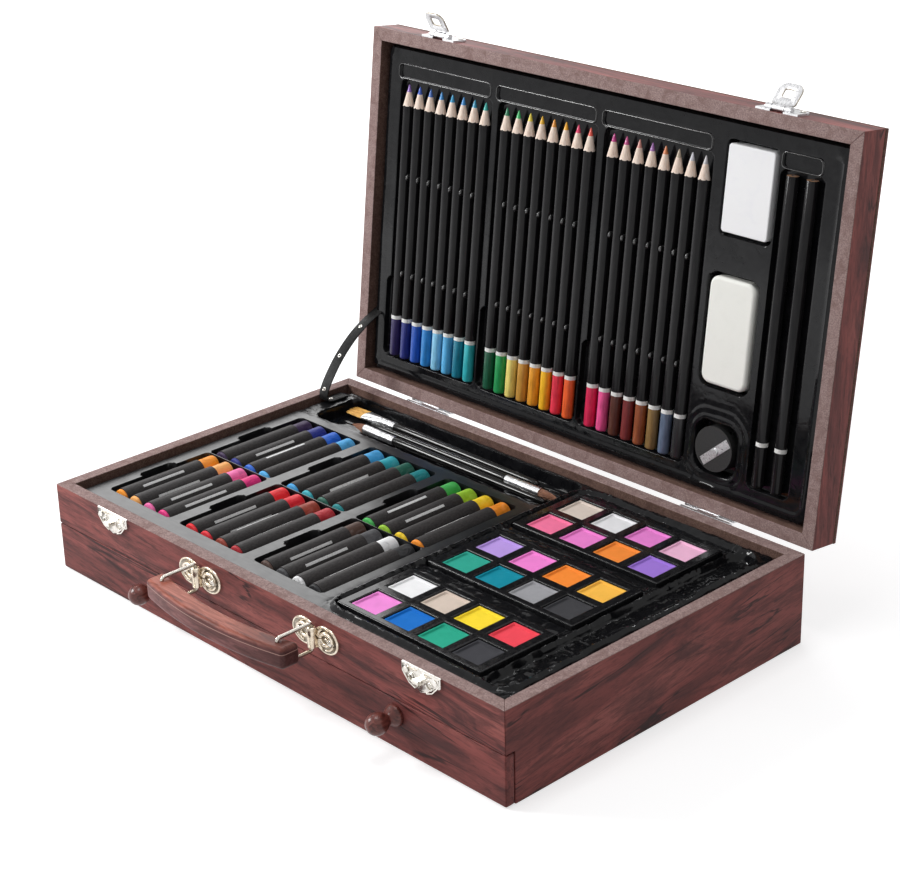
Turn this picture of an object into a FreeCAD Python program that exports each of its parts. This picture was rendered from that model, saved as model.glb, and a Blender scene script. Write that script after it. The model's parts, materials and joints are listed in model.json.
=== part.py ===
import FreeCAD, Part
import math
import os
import re
import Sketcher
from FreeCAD import Placement, Rotation, Vector

# Wooden art case, open: base box with a drawer, hinged lid, latches, carrying handle and two filled trays.
# Origin at the centre of the base's underside, X across the case, Y from front to back, Z up, millimetres.
# The lid and all that it carries are drawn shut and then turned open about the hinge pin.

SIZES = {
    "case_width": 375, "case_depth": 230, "base_height": 55, "lid_height": 21.5, "wall": 8,
    "lid_gap": 0.4, "lid_angle": 96.8, "lid_panel_thick": 3, "floor_thick": 3, "deck_thick": 3,
    "rail_height": 25,
    "front_thick": 6, "drawer_gap": 0.6, "drawer_side": 6, "drawer_bottom_thick": 3, "drawer_run": 0.3,
    "drawer_play": 0.6, "drawer_headroom": 2.5, "drawer_back_gap": 8,
    "knob_inset": 87, "knob_middle": 8.5, "knob_drop": 9.5, "knob_foot_radius": 6.2, "knob_foot": 4,
    "knob_neck_radius": 3.2, "knob_ball_radius": 6, "knob_reach": 13,
    "knob_screw_radius": 1.5, "knob_screw_depth": 10, "knob_screw_head_radius": 3.2,
    "knob_screw_head": 1.8, "screw_fit": 0.05,
    "knuckle_radius": 2.2, "pin_drop": 3, "pin_radius": 1.2, "pin_fit": 0.05, "hinge_inset": 72.5,
    "hinge_width": 36, "hinge_knuckle": 14, "knuckle_gap": 0.4, "leaf_height": 14, "leaf_thick": 1.2,
    "leaf_clear": 0.5, "leaf_fit": 0.3, "leaf_screw_pitch": 12, "leaf_screw_inset": 4.5,
    "nail_radius": 0.8, "nail_head_radius": 1.7, "nail_head": 0.7, "nail_depth": 6.5, "nail_fit": 0.02,
    "latch_inset": 57.5, "latch_width": 28, "latch_height": 13, "latch_thick": 1.2, "latch_lift": 0.6,
    "latch_axis_height": 3.2, "latch_knuckle_radius": 1.9, "latch_knuckle": 8, "latch_side_knuckle": 4,
    "latch_pin_radius": 0.8, "latch_nail_inset": 3.5, "latch_corner": 4,
    "hasp_width": 16, "hasp_length": 16, "hasp_thick": 1.2, "hasp_corner": 5,
    "left_hasp_angle": 55, "right_hasp_angle": 128,
    "slot_width": 7, "slot_height": 5.2, "slot_drop": 9.6,
    "keeper_height": 13, "keeper_shoulder": 6, "keeper_foot": 13, "tongue_width": 4.4,
    "tongue_thick": 2.4, "tongue_reach": 4, "tongue_lip": 0.5, "tongue_lip_thick": 1,
    "handle_drop": 11.5, "handle_thick": 1.2, "lobe_radius": 8.6,
    "lobe_offset": 9, "waist_height": 11, "barrel_radius": 2.6, "barrel_height": 12,
    "bail_out": 3, "bail_radius": 1.1, "bail_half_height": 8, "bail_arm": 23, "bail_bend": 1.9,
    "bail_split": 0.2, "bail_fit": 0.06, "lobe_nail": 12.4,
    "grip_length": 116, "grip_height": 12, "grip_depth": 12.5, "grip_bow": 7, "grip_round": 2.6,
    "grip_fit": 0.08, "grip_hole_inset": 9,
    "tray_recess": 4, "tray_sheet": 0.8, "tray_gap": 0.3, "pocket_play": 1.2,
    "set_margin": 38, "set_end_margin": 22.5, "lid_set_margin": 25.7, "lid_set_end_margin": 30,
    "pastel_pitch": 13.7, "pastel_length": 70, "pastel_radius": 5.7, "sleeve_radius": 6.2,
    "sleeve_front": 4, "sleeve_back": 12, "pastel_middle": -69.5, "pastel_column": 67.5,
    "pastel_front_row": -55.5, "pastel_row": 74.6, "pastel_depth": 11, "seat_gap": 0.1,
    "palette_place": 95.5, "palette_length": 108, "palette_width": 54, "palette_height": 7,
    "palette_middle": -1.5, "palette_pitch": 65.5, "palette_depth": 5.5, "cake_size": 19.6,
    "cake_pitch": 25.4, "cake_row_pitch": 25.6, "cake_thick": 2.2, "well_depth": 3, "well_fit": 0.2,
    "brush_left": -165, "brush_right": 35, "brush_front": 66, "brush_back": 103, "brush_depth": 8,
    "flat_brush_gap": 4, "fine_brush_gap": 22, "round_brush_gap": 4,
    "brush_radius": 3, "brush_tail_radius": 1.8, "ferrule_length": 28,
    "flat_brush_handle": 126, "flat_bristle": 14, "flat_bristle_width": 12, "flat_bristle_thick": 3.4,
    "round_brush_handle": 122, "round_bristle": 15, "fine_brush_handle": 130, "fine_bristle": 12,
    "bristle_tip_radius": 0.6, "flat_brush_place": 94, "round_brush_place": 86.3, "fine_brush_place": 78.6,
    "lid_tray_recess": 5,
    "pencil_middle": -37, "pencil_group": 86, "pencil_pitch": 9.7, "pencil_length": 176,
    "pencil_radius": 3.9, "pencil_round": 0.15, "point_length": 16, "lead_radius": 0.5, "pencil_tail": 22,
    "pencil_sink": 0.2, "tip_room": 2,
    "graphite_place": 148.8, "graphite_pitch": 13,
    "eraser_width": 32, "eraser_length": 49, "eraser_thick": 9, "eraser_place": 114.6, "eraser_end_gap": 22,
    "eraser_depth": 8, "eraser_corner": 2,
    "soft_eraser_length": 62, "soft_eraser_place": 111, "soft_eraser_gap": 25, "soft_eraser_corner": 6,
    "sharpener_radius": 13.2, "sharpener_thick": 10, "sharpener_place": 110, "sharpener_rise": 35.4,
    "sharpener_depth": 9, "sharpener_angle": -41, "blade_length": 23, "blade_width": 5.2,
    "blade_thick": 0.8, "blade_fit": 0.1, "blade_offset": 2, "sharpener_bore": 4.2, "blade_screw_radius": 1.2,
    "blade_screw_head_radius": 2.2, "blade_screw_head": 0.9, "blade_screw_depth": 5,
    "strap_inset": 5.5, "strap_width": 8, "strap_thick": 1, "strap_foot": 10, "strap_back": 8,
    "strap_bend": 4, "strap_low_radius": 30, "strap_low_angle": 45, "strap_high_radius": 100,
    "strap_high_angle": 12, "strap_lid_foot": 9, "eyelet_radius": 1.7, "eyelet_thick": 0.4,
}

doc = FreeCAD.newDocument("art_case")
sheet = doc.addObject("Spreadsheet::Sheet", "sizes")
for row, (alias, number) in enumerate(SIZES.items(), start=1):
    sheet.set(f"A{row}", alias)
    sheet.set(f"B{row}", str(number))
    sheet.setAlias(f"B{row}", alias)
doc.recompute()

sub_parts = {}

# How many of each fill the trays, and the sides of a pencil
STICKS_IN_POCKET = 4
PENCILS_IN_GROUP = 8
CAKE_COLUMNS = 4
CAKE_ROWS = 2
PENCIL_SIDES = 6
# Share of its length by which an edge may stray from a direction and still run along it
PARALLEL = 1e-6

# Directions that round pieces are turned to, from their own Z axis
TURNS = {
    "x": Rotation(Vector(0, 1, 0), 90),
    "-x": Rotation(Vector(0, 1, 0), -90),
    "y": Rotation(Vector(1, 0, 0), -90),
    "-y": Rotation(Vector(1, 0, 0), 90),
    "z": Rotation(),
}

# Limits of the case that many pieces share
HALF_WIDTH = "case_width / 2"
HALF_DEPTH = "case_depth / 2"
INNER_X = "(case_width / 2 - wall)"
INNER_Y = "(case_depth / 2 - wall)"
RAIL_BOTTOM = "(base_height - rail_height)"
DECK_TOP = "(base_height - rail_height + deck_thick)"
TRAY_TOP = "(base_height - tray_recess)"
LID_RIM = "(base_height + lid_gap)"
LID_TOP = "(base_height + lid_gap + lid_height)"
LID_CEILING = "(base_height + lid_gap + lid_height - lid_panel_thick)"
LID_TRAY = "(base_height + lid_gap + lid_tray_recess)"
PIN_Y = "(case_depth / 2 + knuckle_radius + leaf_fit)"
PIN_Z = "(base_height - pin_drop)"
HINGE_SPACING = "(case_width - 2 * hinge_inset)"
LATCH_SPACING = "(case_width - 2 * latch_inset)"
HANDLE_Z = "(base_height - handle_drop)"
HANDLE_SPACING = "(grip_length - 2 * grip_hole_inset)"


def in_sheet(formula):
    """A formula with each size written as a cell of the sheet."""
    return re.sub("|".join(sorted(SIZES, key=len, reverse=True)), r"sizes.\g<0>", formula)


def amount(formula):
    """What a formula comes to."""
    return float(sheet.evalExpression(in_sheet(formula)))


def bind(piece, name, formula):
    """Ties a property to the sheet."""
    piece.setExpression(name, in_sheet(formula))


def settle(piece, at):
    """Ties a piece's place to the sheet."""
    for axis, formula in zip("xyz", at):
        bind(piece, f"Placement.Base.{axis}", formula)


def block(name, x, y, z):
    """A rectangular piece between two limits on each axis."""
    piece = doc.addObject("Part::Box", name)
    for size, (low, high) in zip(("Length", "Width", "Height"), (x, y, z)):
        bind(piece, size, f"({high}) - ({low})")
    settle(piece, (x[0], y[0], z[0]))
    return piece


def centred(middle, size):
    """Limits that lie evenly about a middle."""
    return f"{middle} - ({size}) / 2", f"{middle} + ({size}) / 2"


def spread(middle, step, count, pitch):
    """Place of one of several pieces set out evenly about a middle."""
    return f"({middle} + ({step} - ({count} - 1) / 2) * {pitch})"


def rod(name, radius, length, at, axis):
    """A round bar from a place along an axis."""
    piece = doc.addObject("Part::Cylinder", name)
    piece.Placement = Placement(Vector(), TURNS[axis])
    bind(piece, "Radius", radius)
    bind(piece, "Height", length)
    settle(piece, at)
    return piece


def taper(name, radius, end_radius, length, at, axis):
    """A round bar that narrows along an axis."""
    piece = doc.addObject("Part::Cone", name)
    piece.Placement = Placement(Vector(), TURNS[axis])
    bind(piece, "Radius1", radius)
    bind(piece, "Radius2", end_radius)
    bind(piece, "Height", length)
    settle(piece, at)
    return piece


def fuse(name, pieces):
    """Pieces joined to one."""
    piece = doc.addObject("Part::MultiFuse", name)
    piece.Shapes = pieces
    return piece


def group(name, pieces):
    """Separate pieces that share a node."""
    piece = doc.addObject("Part::Compound", name)
    piece.Links = pieces
    return piece


def cut(name, base, tools):
    """A piece with others taken away from it."""
    piece = doc.addObject("Part::Cut", name)
    piece.Base = base
    piece.Tool = tools[0] if len(tools) == 1 else group(name + "_tools", tools)
    return piece


def edges_along(shape, direction):
    """Numbers of the straight edges that run along a direction."""
    numbers = []
    for number, edge in enumerate(shape.Edges, start=1):
        ends = [vertex.Point for vertex in edge.Vertexes]
        if len(ends) == 2 and (ends[1] - ends[0]).cross(direction).Length < edge.Length * PARALLEL:
            numbers.append(number)
    return numbers


def rounded(name, base, radius, direction):
    """A piece with its edges along one direction rounded."""
    doc.recompute()
    piece = doc.addObject("Part::Fillet", name)
    piece.Base = base
    piece.Edges = [(edge, amount(radius), amount(radius)) for edge in edges_along(base.Shape, direction)]
    return piece


def origin_plane(body, role):
    """One of a body's own origin planes."""
    return next(plane for plane in body.Origin.OriginFeatures if plane.Role == role)


def outline(body, name, corners, role, offset):
    """A closed sketch whose corners are tied to the sheet."""
    sketch = body.newObject("Sketcher::SketchObject", name)
    sketch.AttachmentSupport = (origin_plane(body, role), "")
    sketch.MapMode = "FlatFace"
    bind(sketch, "AttachmentOffset.Base.z", offset)
    points = [Vector(amount(across), amount(up), 0) for across, up in corners]
    for start, end in zip(points, points[1:] + points[:1]):
        sketch.addGeometry(Part.LineSegment(start, end))
    for edge in range(len(points)):
        sketch.addConstraint(Sketcher.Constraint("Coincident", edge, 2, (edge + 1) % len(points), 1))
    for edge, corner in enumerate(corners):
        for kind, formula in zip(("DistanceX", "DistanceY"), corner):
            rule = Sketcher.Constraint(kind, -1, 1, edge, 1, amount(formula))
            sketch.setExpression(f"Constraints[{sketch.addConstraint(rule)}]", in_sheet(formula))
    return sketch


def padded(name, corners, role, offset, thickness):
    """A body padded from an outline, with its last feature."""
    body = doc.addObject("PartDesign::Body", name)
    pad = body.newObject("PartDesign::Pad", name + "_pad")
    pad.Profile = outline(body, name + "_outline", corners, role, offset)
    bind(pad, "Length", thickness)
    body.Tip = pad
    return body, pad


def soften(body, feature, radius, direction, chosen):
    """Rounds the chosen edges of a body's last feature."""
    doc.recompute()
    fillet = body.newObject("PartDesign::Fillet", body.Name + "_fillet")
    numbers = edges_along(feature.Shape, direction)
    picked = [number for number in numbers if chosen(feature.Shape.Edges[number - 1].CenterOfMass)]
    fillet.Base = (feature, [f"Edge{number}" for number in picked])
    bind(fillet, "Radius", radius)
    body.Tip = fillet


def keep(label, piece, place=None):
    """Names a finished sub-part and puts it in its place."""
    piece.Label = label
    if place is not None:
        piece.Placement = place
    sub_parts[label] = piece


def nails(name, spots, face, axis):
    """Nails driven from a face along an axis, and the holes that take them."""
    back = {"y": "-y", "-y": "y"}[axis]
    made = []
    holes = []
    for count, (x, z) in enumerate(spots):
        shank = rod(f"{name}_shank_{count}", "nail_radius", "nail_depth", (x, face, z), axis)
        head = rod(f"{name}_head_{count}", "nail_head_radius", "nail_head", (x, face, z), back)
        made.append(fuse(f"{name}_{count}", [shank, head]))
        holes.append(rod(f"{name}_hole_{count}", "nail_radius + nail_fit", "nail_depth", (x, face, z), axis))
    return made, holes


OPEN_LID = Placement(
    Vector(),
    Rotation(Vector(1, 0, 0), -amount("lid_angle")),
    Vector(0, amount(PIN_Y), amount(PIN_Z)),
)
ENDS = {"left": -1, "right": 1}


# Where the front and back fittings are nailed on
def pair(spacing, offsets, height):
    """Spots beside two fittings that lie evenly about the middle."""
    return [(f"{side} * {spacing} / 2 + ({offset})", height) for side in ENDS.values() for offset in offsets]


KEEPER_FACE = f"-({HALF_DEPTH}) - latch_thick"
PLATE_FACE = f"-({HALF_DEPTH}) - handle_thick"
LEAF_FACE = f"{HALF_DEPTH} + leaf_thick"
latch_offsets = [f"{side} * (latch_width / 2 - latch_nail_inset)" for side in ENDS.values()]
leaf_offsets = [f"{step} * leaf_screw_pitch" for step in (-1, 0, 1)]
lobe_offsets = [f"{side} * lobe_nail" for side in ENDS.values()]
keeper_nails, keeper_holes = nails(
    "keeper_nail", pair(LATCH_SPACING, latch_offsets, "base_height - latch_nail_inset"), KEEPER_FACE, "y"
)
plate_nails, plate_holes = nails(
    "plate_nail", pair(HANDLE_SPACING, lobe_offsets, HANDLE_Z), PLATE_FACE, "y"
)
base_leaf_nails, base_leaf_holes = nails(
    "base_leaf_screw",
    pair(HINGE_SPACING, leaf_offsets, f"{PIN_Z} - leaf_height + leaf_screw_inset"),
    LEAF_FACE,
    "-y",
)
latch_nails, latch_holes = nails(
    "latch_nail",
    pair(LATCH_SPACING, latch_offsets, f"{LID_RIM} + latch_lift + latch_height - latch_nail_inset"),
    KEEPER_FACE,
    "y",
)
lid_leaf_nails, lid_leaf_holes = nails(
    "lid_leaf_screw",
    pair(HINGE_SPACING, leaf_offsets, f"{LID_RIM} + leaf_height - leaf_screw_inset"),
    LEAF_FACE,
    "-y",
)
keep("base_fasteners", group("base_fasteners", keeper_nails + plate_nails + base_leaf_nails))
keep("lid_fasteners", group("lid_fasteners", latch_nails + lid_leaf_nails), OPEN_LID)


# Mitred walls of the base and the lid: each is a trapezium in plan
def wall_corners(side):
    """Plan corners of one wall of the box."""
    outer = {"left": -1, "right": 1, "front": -1, "back": 1}[side]
    if side in ENDS:
        return [
            (f"{outer} * {HALF_WIDTH}", f"-({HALF_DEPTH})"),
            (f"{outer} * {INNER_X}", f"-{INNER_Y}"),
            (f"{outer} * {INNER_X}", INNER_Y),
            (f"{outer} * {HALF_WIDTH}", HALF_DEPTH),
        ]
    return [
        (f"-({HALF_WIDTH})", f"{outer} * {HALF_DEPTH}"),
        (f"-{INNER_X}", f"{outer} * {INNER_Y}"),
        (INNER_X, f"{outer} * {INNER_Y}"),
        (HALF_WIDTH, f"{outer} * {HALF_DEPTH}"),
    ]


WHOLE_X = (f"-({HALF_WIDTH})", HALF_WIDTH)
INSIDE_X = (f"-{INNER_X}", INNER_X)
INSIDE_Y = (f"-{INNER_Y}", INNER_Y)
BAY_FRONT = f"-({HALF_DEPTH}) + front_thick + drawer_gap"

rail_blank, _ = padded(
    "rail_blank", wall_corners("front"), "XY_Plane", RAIL_BOTTOM, "rail_height"
)
keep("base_front_rail", cut("base_front_rail", rail_blank, keeper_holes + plate_holes))
back_blank, _ = padded("back_blank", wall_corners("back"), "XY_Plane", "0", "base_height")
keep("base_back_panel", cut("base_back_panel", back_blank, base_leaf_holes))
for side in ENDS:
    side_blank, _ = padded(f"{side}_blank", wall_corners(side), "XY_Plane", "0", "base_height")
    notch = block(
        f"{side}_notch", WHOLE_X, (f"-({HALF_DEPTH}) - wall", BAY_FRONT), ("-wall", RAIL_BOTTOM)
    )
    keep(f"base_{side}_side", cut(f"base_{side}_side", side_blank, [notch]))
keep("base_deck", block("base_deck", INSIDE_X, INSIDE_Y, (RAIL_BOTTOM, DECK_TOP)))
keep("base_floor", block("base_floor", INSIDE_X, (BAY_FRONT, INNER_Y), ("0", "floor_thick")))

LID_WALL = "lid_height - lid_panel_thick"
front_blank, _ = padded("lid_front_blank", wall_corners("front"), "XY_Plane", LID_RIM, LID_WALL)
keep("lid_front_wall", cut("lid_front_wall", front_blank, latch_holes), OPEN_LID)
lid_back_blank, _ = padded("lid_back_blank", wall_corners("back"), "XY_Plane", LID_RIM, LID_WALL)
keep("lid_back_wall", cut("lid_back_wall", lid_back_blank, lid_leaf_holes), OPEN_LID)
for side in ENDS:
    lid_side, _ = padded(f"lid_{side}_wall", wall_corners(side), "XY_Plane", LID_RIM, LID_WALL)
    keep(f"lid_{side}_wall", lid_side, OPEN_LID)
panel_blank = block(
    "panel_blank", WHOLE_X, (f"-({HALF_DEPTH})", HALF_DEPTH), (LID_CEILING, LID_TOP)
)
keep("lid_panel", group("lid_panel", [panel_blank]), OPEN_LID)

# Drawer: a box on the base's floor, with a front as wide as the case and two turned knobs
DRAWER_X = f"({INNER_X} - drawer_play)"
DRAWER_LOW = "floor_thick + drawer_run"
DRAWER_TOP = f"{RAIL_BOTTOM} - drawer_headroom"
DRAWER_FRONT = f"-({HALF_DEPTH}) + front_thick"
DRAWER_BACK = f"({INNER_Y} - drawer_back_gap)"
DRAWER_FLOOR = "floor_thick + drawer_run + drawer_bottom_thick"
SIDE_FACE = f"({DRAWER_X} - drawer_side)"
KNOB_Z = f"({RAIL_BOTTOM} - knob_drop)"
knob_pieces = []
knob_screws = []
screw_holes = []
for side, sign in ENDS.items():
    knob_x = f"knob_middle + {sign} * (case_width / 2 - knob_inset)"
    at_face = (knob_x, f"-({HALF_DEPTH})", KNOB_Z)
    inside = (knob_x, DRAWER_FRONT, KNOB_Z)
    foot = rod(f"knob_foot_{side}", "knob_foot_radius", "knob_foot", at_face, "-y")
    neck = rod(f"knob_neck_{side}", "knob_neck_radius", "knob_reach", at_face, "-y")
    ball = doc.addObject("Part::Sphere", f"knob_ball_{side}")
    bind(ball, "Radius", "knob_ball_radius")
    settle(ball, (knob_x, f"-({HALF_DEPTH}) - knob_reach", KNOB_Z))
    screw_length = "front_thick + knob_screw_depth"
    bore = rod(f"knob_bore_{side}", "knob_screw_radius + screw_fit", screw_length, inside, "-y")
    turned = fuse(f"knob_turned_{side}", [foot, neck, ball])
    knob_pieces.append(cut(f"knob_{side}", turned, [bore]))
    shank = rod(f"knob_screw_shank_{side}", "knob_screw_radius", screw_length, inside, "-y")
    head = rod(f"knob_screw_head_{side}", "knob_screw_head_radius", "knob_screw_head", inside, "y")
    knob_screws.append(fuse(f"knob_screw_{side}", [shank, head]))
    screw_holes.append(bore)
front_board = block(
    "front_board", WHOLE_X, (f"-({HALF_DEPTH})", DRAWER_FRONT), ("drawer_gap", f"{RAIL_BOTTOM} - drawer_gap")
)
keep("drawer_front", cut("drawer_front", front_board, screw_holes))
keep("drawer_knobs", group("drawer_knobs", knob_pieces))
keep("drawer_knob_screws", group("drawer_knob_screws", knob_screws))
for side, sign in ENDS.items():
    limits = sorted((f"{sign} * {SIDE_FACE}", f"{sign} * {DRAWER_X}"), key=amount)
    board = block(f"drawer_{side}_side", limits, (DRAWER_FRONT, DRAWER_BACK), (DRAWER_LOW, DRAWER_TOP))
    keep(f"drawer_{side}_side", board)
BETWEEN_X = (f"-{SIDE_FACE}", SIDE_FACE)
keep(
    "drawer_back",
    block(
        "drawer_back", BETWEEN_X, (f"{DRAWER_BACK} - drawer_side", DRAWER_BACK), (DRAWER_FLOOR, DRAWER_TOP)
    ),
)
keep(
    "drawer_bottom",
    block("drawer_bottom", BETWEEN_X, (DRAWER_FRONT, DRAWER_BACK), (DRAWER_LOW, DRAWER_FLOOR)),
)

# Butt hinges on the back: outer knuckles on the base's leaf, the middle one on the lid's leaf
base_leaves = []
lid_leaves = []
hinge_pins = []
SIDE_KNUCKLE = "(hinge_width - hinge_knuckle) / 2 - knuckle_gap"
LEAF_Y = (HALF_DEPTH, LEAF_FACE)
for side, sign in ENDS.items():
    middle = f"{sign} * {HINGE_SPACING} / 2"
    near = f"{middle} - hinge_width / 2"
    far = f"{middle} + hinge_width / 2"
    whole = (near, far)
    inner = centred(middle, "hinge_knuckle")
    low = f"{PIN_Z} - knuckle_radius - leaf_clear"
    high = f"max({LID_RIM}; {PIN_Z} + knuckle_radius + leaf_clear)"
    ear_y = (f"{HALF_DEPTH} + leaf_fit", LEAF_FACE)
    left_ear = (near, f"{near} + {SIDE_KNUCKLE}")
    right_ear = (f"{far} - ({SIDE_KNUCKLE})", far)
    base_leaf = fuse(f"base_leaf_blank_{side}", [
        block(f"base_leaf_{side}", whole, LEAF_Y, (f"{PIN_Z} - leaf_height", low)),
        block(f"base_left_ear_{side}", left_ear, LEAF_Y, (low, PIN_Z)),
        block(f"base_right_ear_{side}", right_ear, LEAF_Y, (low, PIN_Z)),
        rod(f"left_knuckle_{side}", "knuckle_radius", SIDE_KNUCKLE, (near, PIN_Y, PIN_Z), "x"),
        rod(f"right_knuckle_{side}", "knuckle_radius", SIDE_KNUCKLE, (far, PIN_Y, PIN_Z), "-x"),
    ])
    lid_leaf = fuse(f"lid_leaf_blank_{side}", [
        block(f"lid_leaf_{side}", whole, LEAF_Y, (high, f"{LID_RIM} + leaf_height")),
        block(f"lid_ear_{side}", inner, ear_y, (PIN_Z, high)),
        rod(f"middle_knuckle_{side}", "knuckle_radius", "hinge_knuckle", (inner[0], PIN_Y, PIN_Z), "x"),
    ])
    bore = rod(f"hinge_bore_{side}", "pin_radius + pin_fit", "hinge_width", (near, PIN_Y, PIN_Z), "x")
    base_leaves.append(cut(f"base_hinge_{side}", base_leaf, [bore] + base_leaf_holes))
    lid_leaves.append(cut(f"lid_hinge_{side}", lid_leaf, [bore] + lid_leaf_holes))
    hinge_pins.append(rod(f"hinge_pin_{side}", "pin_radius", "hinge_width", (near, PIN_Y, PIN_Z), "x"))
keep("hinge_base_leaves", group("hinge_base_leaves", base_leaves))
keep("hinge_lid_leaves", group("hinge_lid_leaves", lid_leaves), OPEN_LID)
keep("hinge_pins", group("hinge_pins", hinge_pins))

# Latches: a plate with two knuckles on the lid, a slotted hasp on its pin, a keeper with a tongue below
LATCH_Y = f"(-({HALF_DEPTH}) - leaf_fit - latch_knuckle_radius)"
LATCH_Z = f"({LID_RIM} + latch_axis_height)"
HASP_FACE = f"{LATCH_Y} - latch_knuckle_radius"
PLATE_LOW = f"{LID_RIM} + latch_lift"
UP = Vector(0, 0, 1)
OUT = Vector(0, 1, 0)
latch_pins = []
for side, sign in ENDS.items():
    middle = f"{sign} * {LATCH_SPACING} / 2"
    wide = centred(middle, "latch_width")
    axis_at = (f"{middle} - latch_knuckle / 2 - knuckle_gap - latch_side_knuckle", LATCH_Y, LATCH_Z)
    far_at = (f"{middle} + latch_knuckle / 2 + knuckle_gap", LATCH_Y, LATCH_Z)
    pin_length = "latch_knuckle + 2 * knuckle_gap + 2 * latch_side_knuckle"
    plate_corners = [
        (wide[0], PLATE_LOW),
        (wide[1], PLATE_LOW),
        (wide[1], f"{PLATE_LOW} + latch_height"),
        (wide[0], f"{PLATE_LOW} + latch_height"),
    ]
    plate, plate_pad = padded(f"latch_blank_{side}", plate_corners, "XZ_Plane", HALF_DEPTH, "latch_thick")
    upper = amount(f"{PLATE_LOW} + latch_height / 2")
    soften(plate, plate_pad, "latch_corner", OUT, lambda point: point.z > upper)
    mouth = block(
        f"latch_mouth_{side}",
        centred(middle, "latch_knuckle + 2 * knuckle_gap"),
        (f"{LATCH_Y} - latch_knuckle_radius", HALF_DEPTH),
        (PLATE_LOW, f"{LATCH_Z} + latch_knuckle_radius + leaf_clear"),
    )
    knuckles = [
        rod(f"latch_knuckle_{side}_{count}", "latch_knuckle_radius", "latch_side_knuckle", at, "x")
        for count, at in enumerate((axis_at, far_at))
    ]
    bore = rod(f"latch_bore_{side}", "latch_pin_radius + pin_fit", pin_length, axis_at, "x")
    open_plate = cut(f"latch_open_{side}", plate, [mouth])
    plate_blank = fuse(f"latch_plate_blank_{side}", [open_plate] + knuckles)
    latch_plate = cut(f"latch_plate_{side}", plate_blank, [bore] + latch_holes)
    keep(f"latch_plate_{side}", latch_plate, OPEN_LID)
    latch_pins.append(rod(f"latch_pin_{side}", "latch_pin_radius", pin_length, axis_at, "x"))

    hasp_x = centred(middle, "hasp_width")
    neck_x = centred(middle, "latch_knuckle")
    hasp_low = f"{LATCH_Z} - hasp_length"
    shoulder = f"{LATCH_Z} - latch_knuckle_radius - leaf_clear"
    hasp_corners = [
        (hasp_x[0], hasp_low),
        (hasp_x[1], hasp_low),
        (hasp_x[1], shoulder),
        (neck_x[1], shoulder),
        (neck_x[1], LATCH_Z),
        (neck_x[0], LATCH_Z),
        (neck_x[0], shoulder),
        (hasp_x[0], shoulder),
    ]
    hasp_back = f"-({HASP_FACE}) - hasp_thick"
    hasp, hasp_pad = padded(f"hasp_blank_{side}", hasp_corners, "XZ_Plane", hasp_back, "hasp_thick")
    lower = amount(f"{LATCH_Z} - hasp_length / 2")
    soften(hasp, hasp_pad, "hasp_corner", OUT, lambda point: point.z < lower)
    slot = block(
        f"hasp_slot_{side}",
        centred(middle, "slot_width"),
        (f"{HASP_FACE} - hasp_thick", f"{HASP_FACE} + 2 * hasp_thick"),
        centred(f"({LATCH_Z} - slot_drop)", "slot_height"),
    )
    curl_at = (neck_x[0], LATCH_Y, LATCH_Z)
    curl = rod(f"hasp_curl_{side}", "latch_knuckle_radius", "latch_knuckle", curl_at, "x")
    hasp_whole = fuse(f"hasp_whole_{side}", [hasp, curl])
    lifted = Placement(
        Vector(),
        Rotation(Vector(1, 0, 0), -amount(f"{side}_hasp_angle")),
        Vector(0, amount(LATCH_Y), amount(LATCH_Z)),
    )
    keep(f"hasp_{side}", cut(f"hasp_{side}", hasp_whole, [slot, bore]), OPEN_LID * lifted)

    keeper_low = "base_height - keeper_height"
    keeper_corners = [
        (wide[0], "base_height"),
        (wide[0], "base_height - keeper_shoulder"),
        (f"{middle} - keeper_foot / 2", keeper_low),
        (f"{middle} + keeper_foot / 2", keeper_low),
        (wide[1], "base_height - keeper_shoulder"),
        (wide[1], "base_height"),
    ]
    keeper, keeper_pad = padded(f"keeper_blank_{side}", keeper_corners, "XZ_Plane", HALF_DEPTH, "latch_thick")
    rim = amount("base_height - keeper_shoulder / 2")
    soften(keeper, keeper_pad, "latch_corner", OUT, lambda point: point.z < rim)
    tongue_z = f"({LATCH_Z} - slot_drop)"
    tongue_x = centred(middle, "tongue_width")
    tongue_tip = f"{KEEPER_FACE} - tongue_reach"
    tongue = block(
        f"tongue_{side}", tongue_x, (tongue_tip, f"-({HALF_DEPTH})"), centred(tongue_z, "tongue_thick")
    )
    lip = block(
        f"tongue_lip_{side}",
        tongue_x,
        (tongue_tip, f"{tongue_tip} + tongue_lip_thick"),
        (tongue_z, f"{tongue_z} + tongue_thick / 2 + tongue_lip"),
    )
    keep(
        f"keeper_{side}",
        cut(f"keeper_{side}", fuse(f"keeper_whole_{side}", [keeper, tongue, lip]), keeper_holes),
    )
keep("latch_pins", group("latch_pins", latch_pins), OPEN_LID)

# Carrying handle: two lobed plates with upright barrels, wire bails that swing in them, and a bowed grip
BAIL_Y = f"(-({HALF_DEPTH}) - bail_out)"
GRIP_Y = f"({BAIL_Y} - bail_arm)"
PLATE_Y = (PLATE_FACE, f"-({HALF_DEPTH})")


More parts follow.
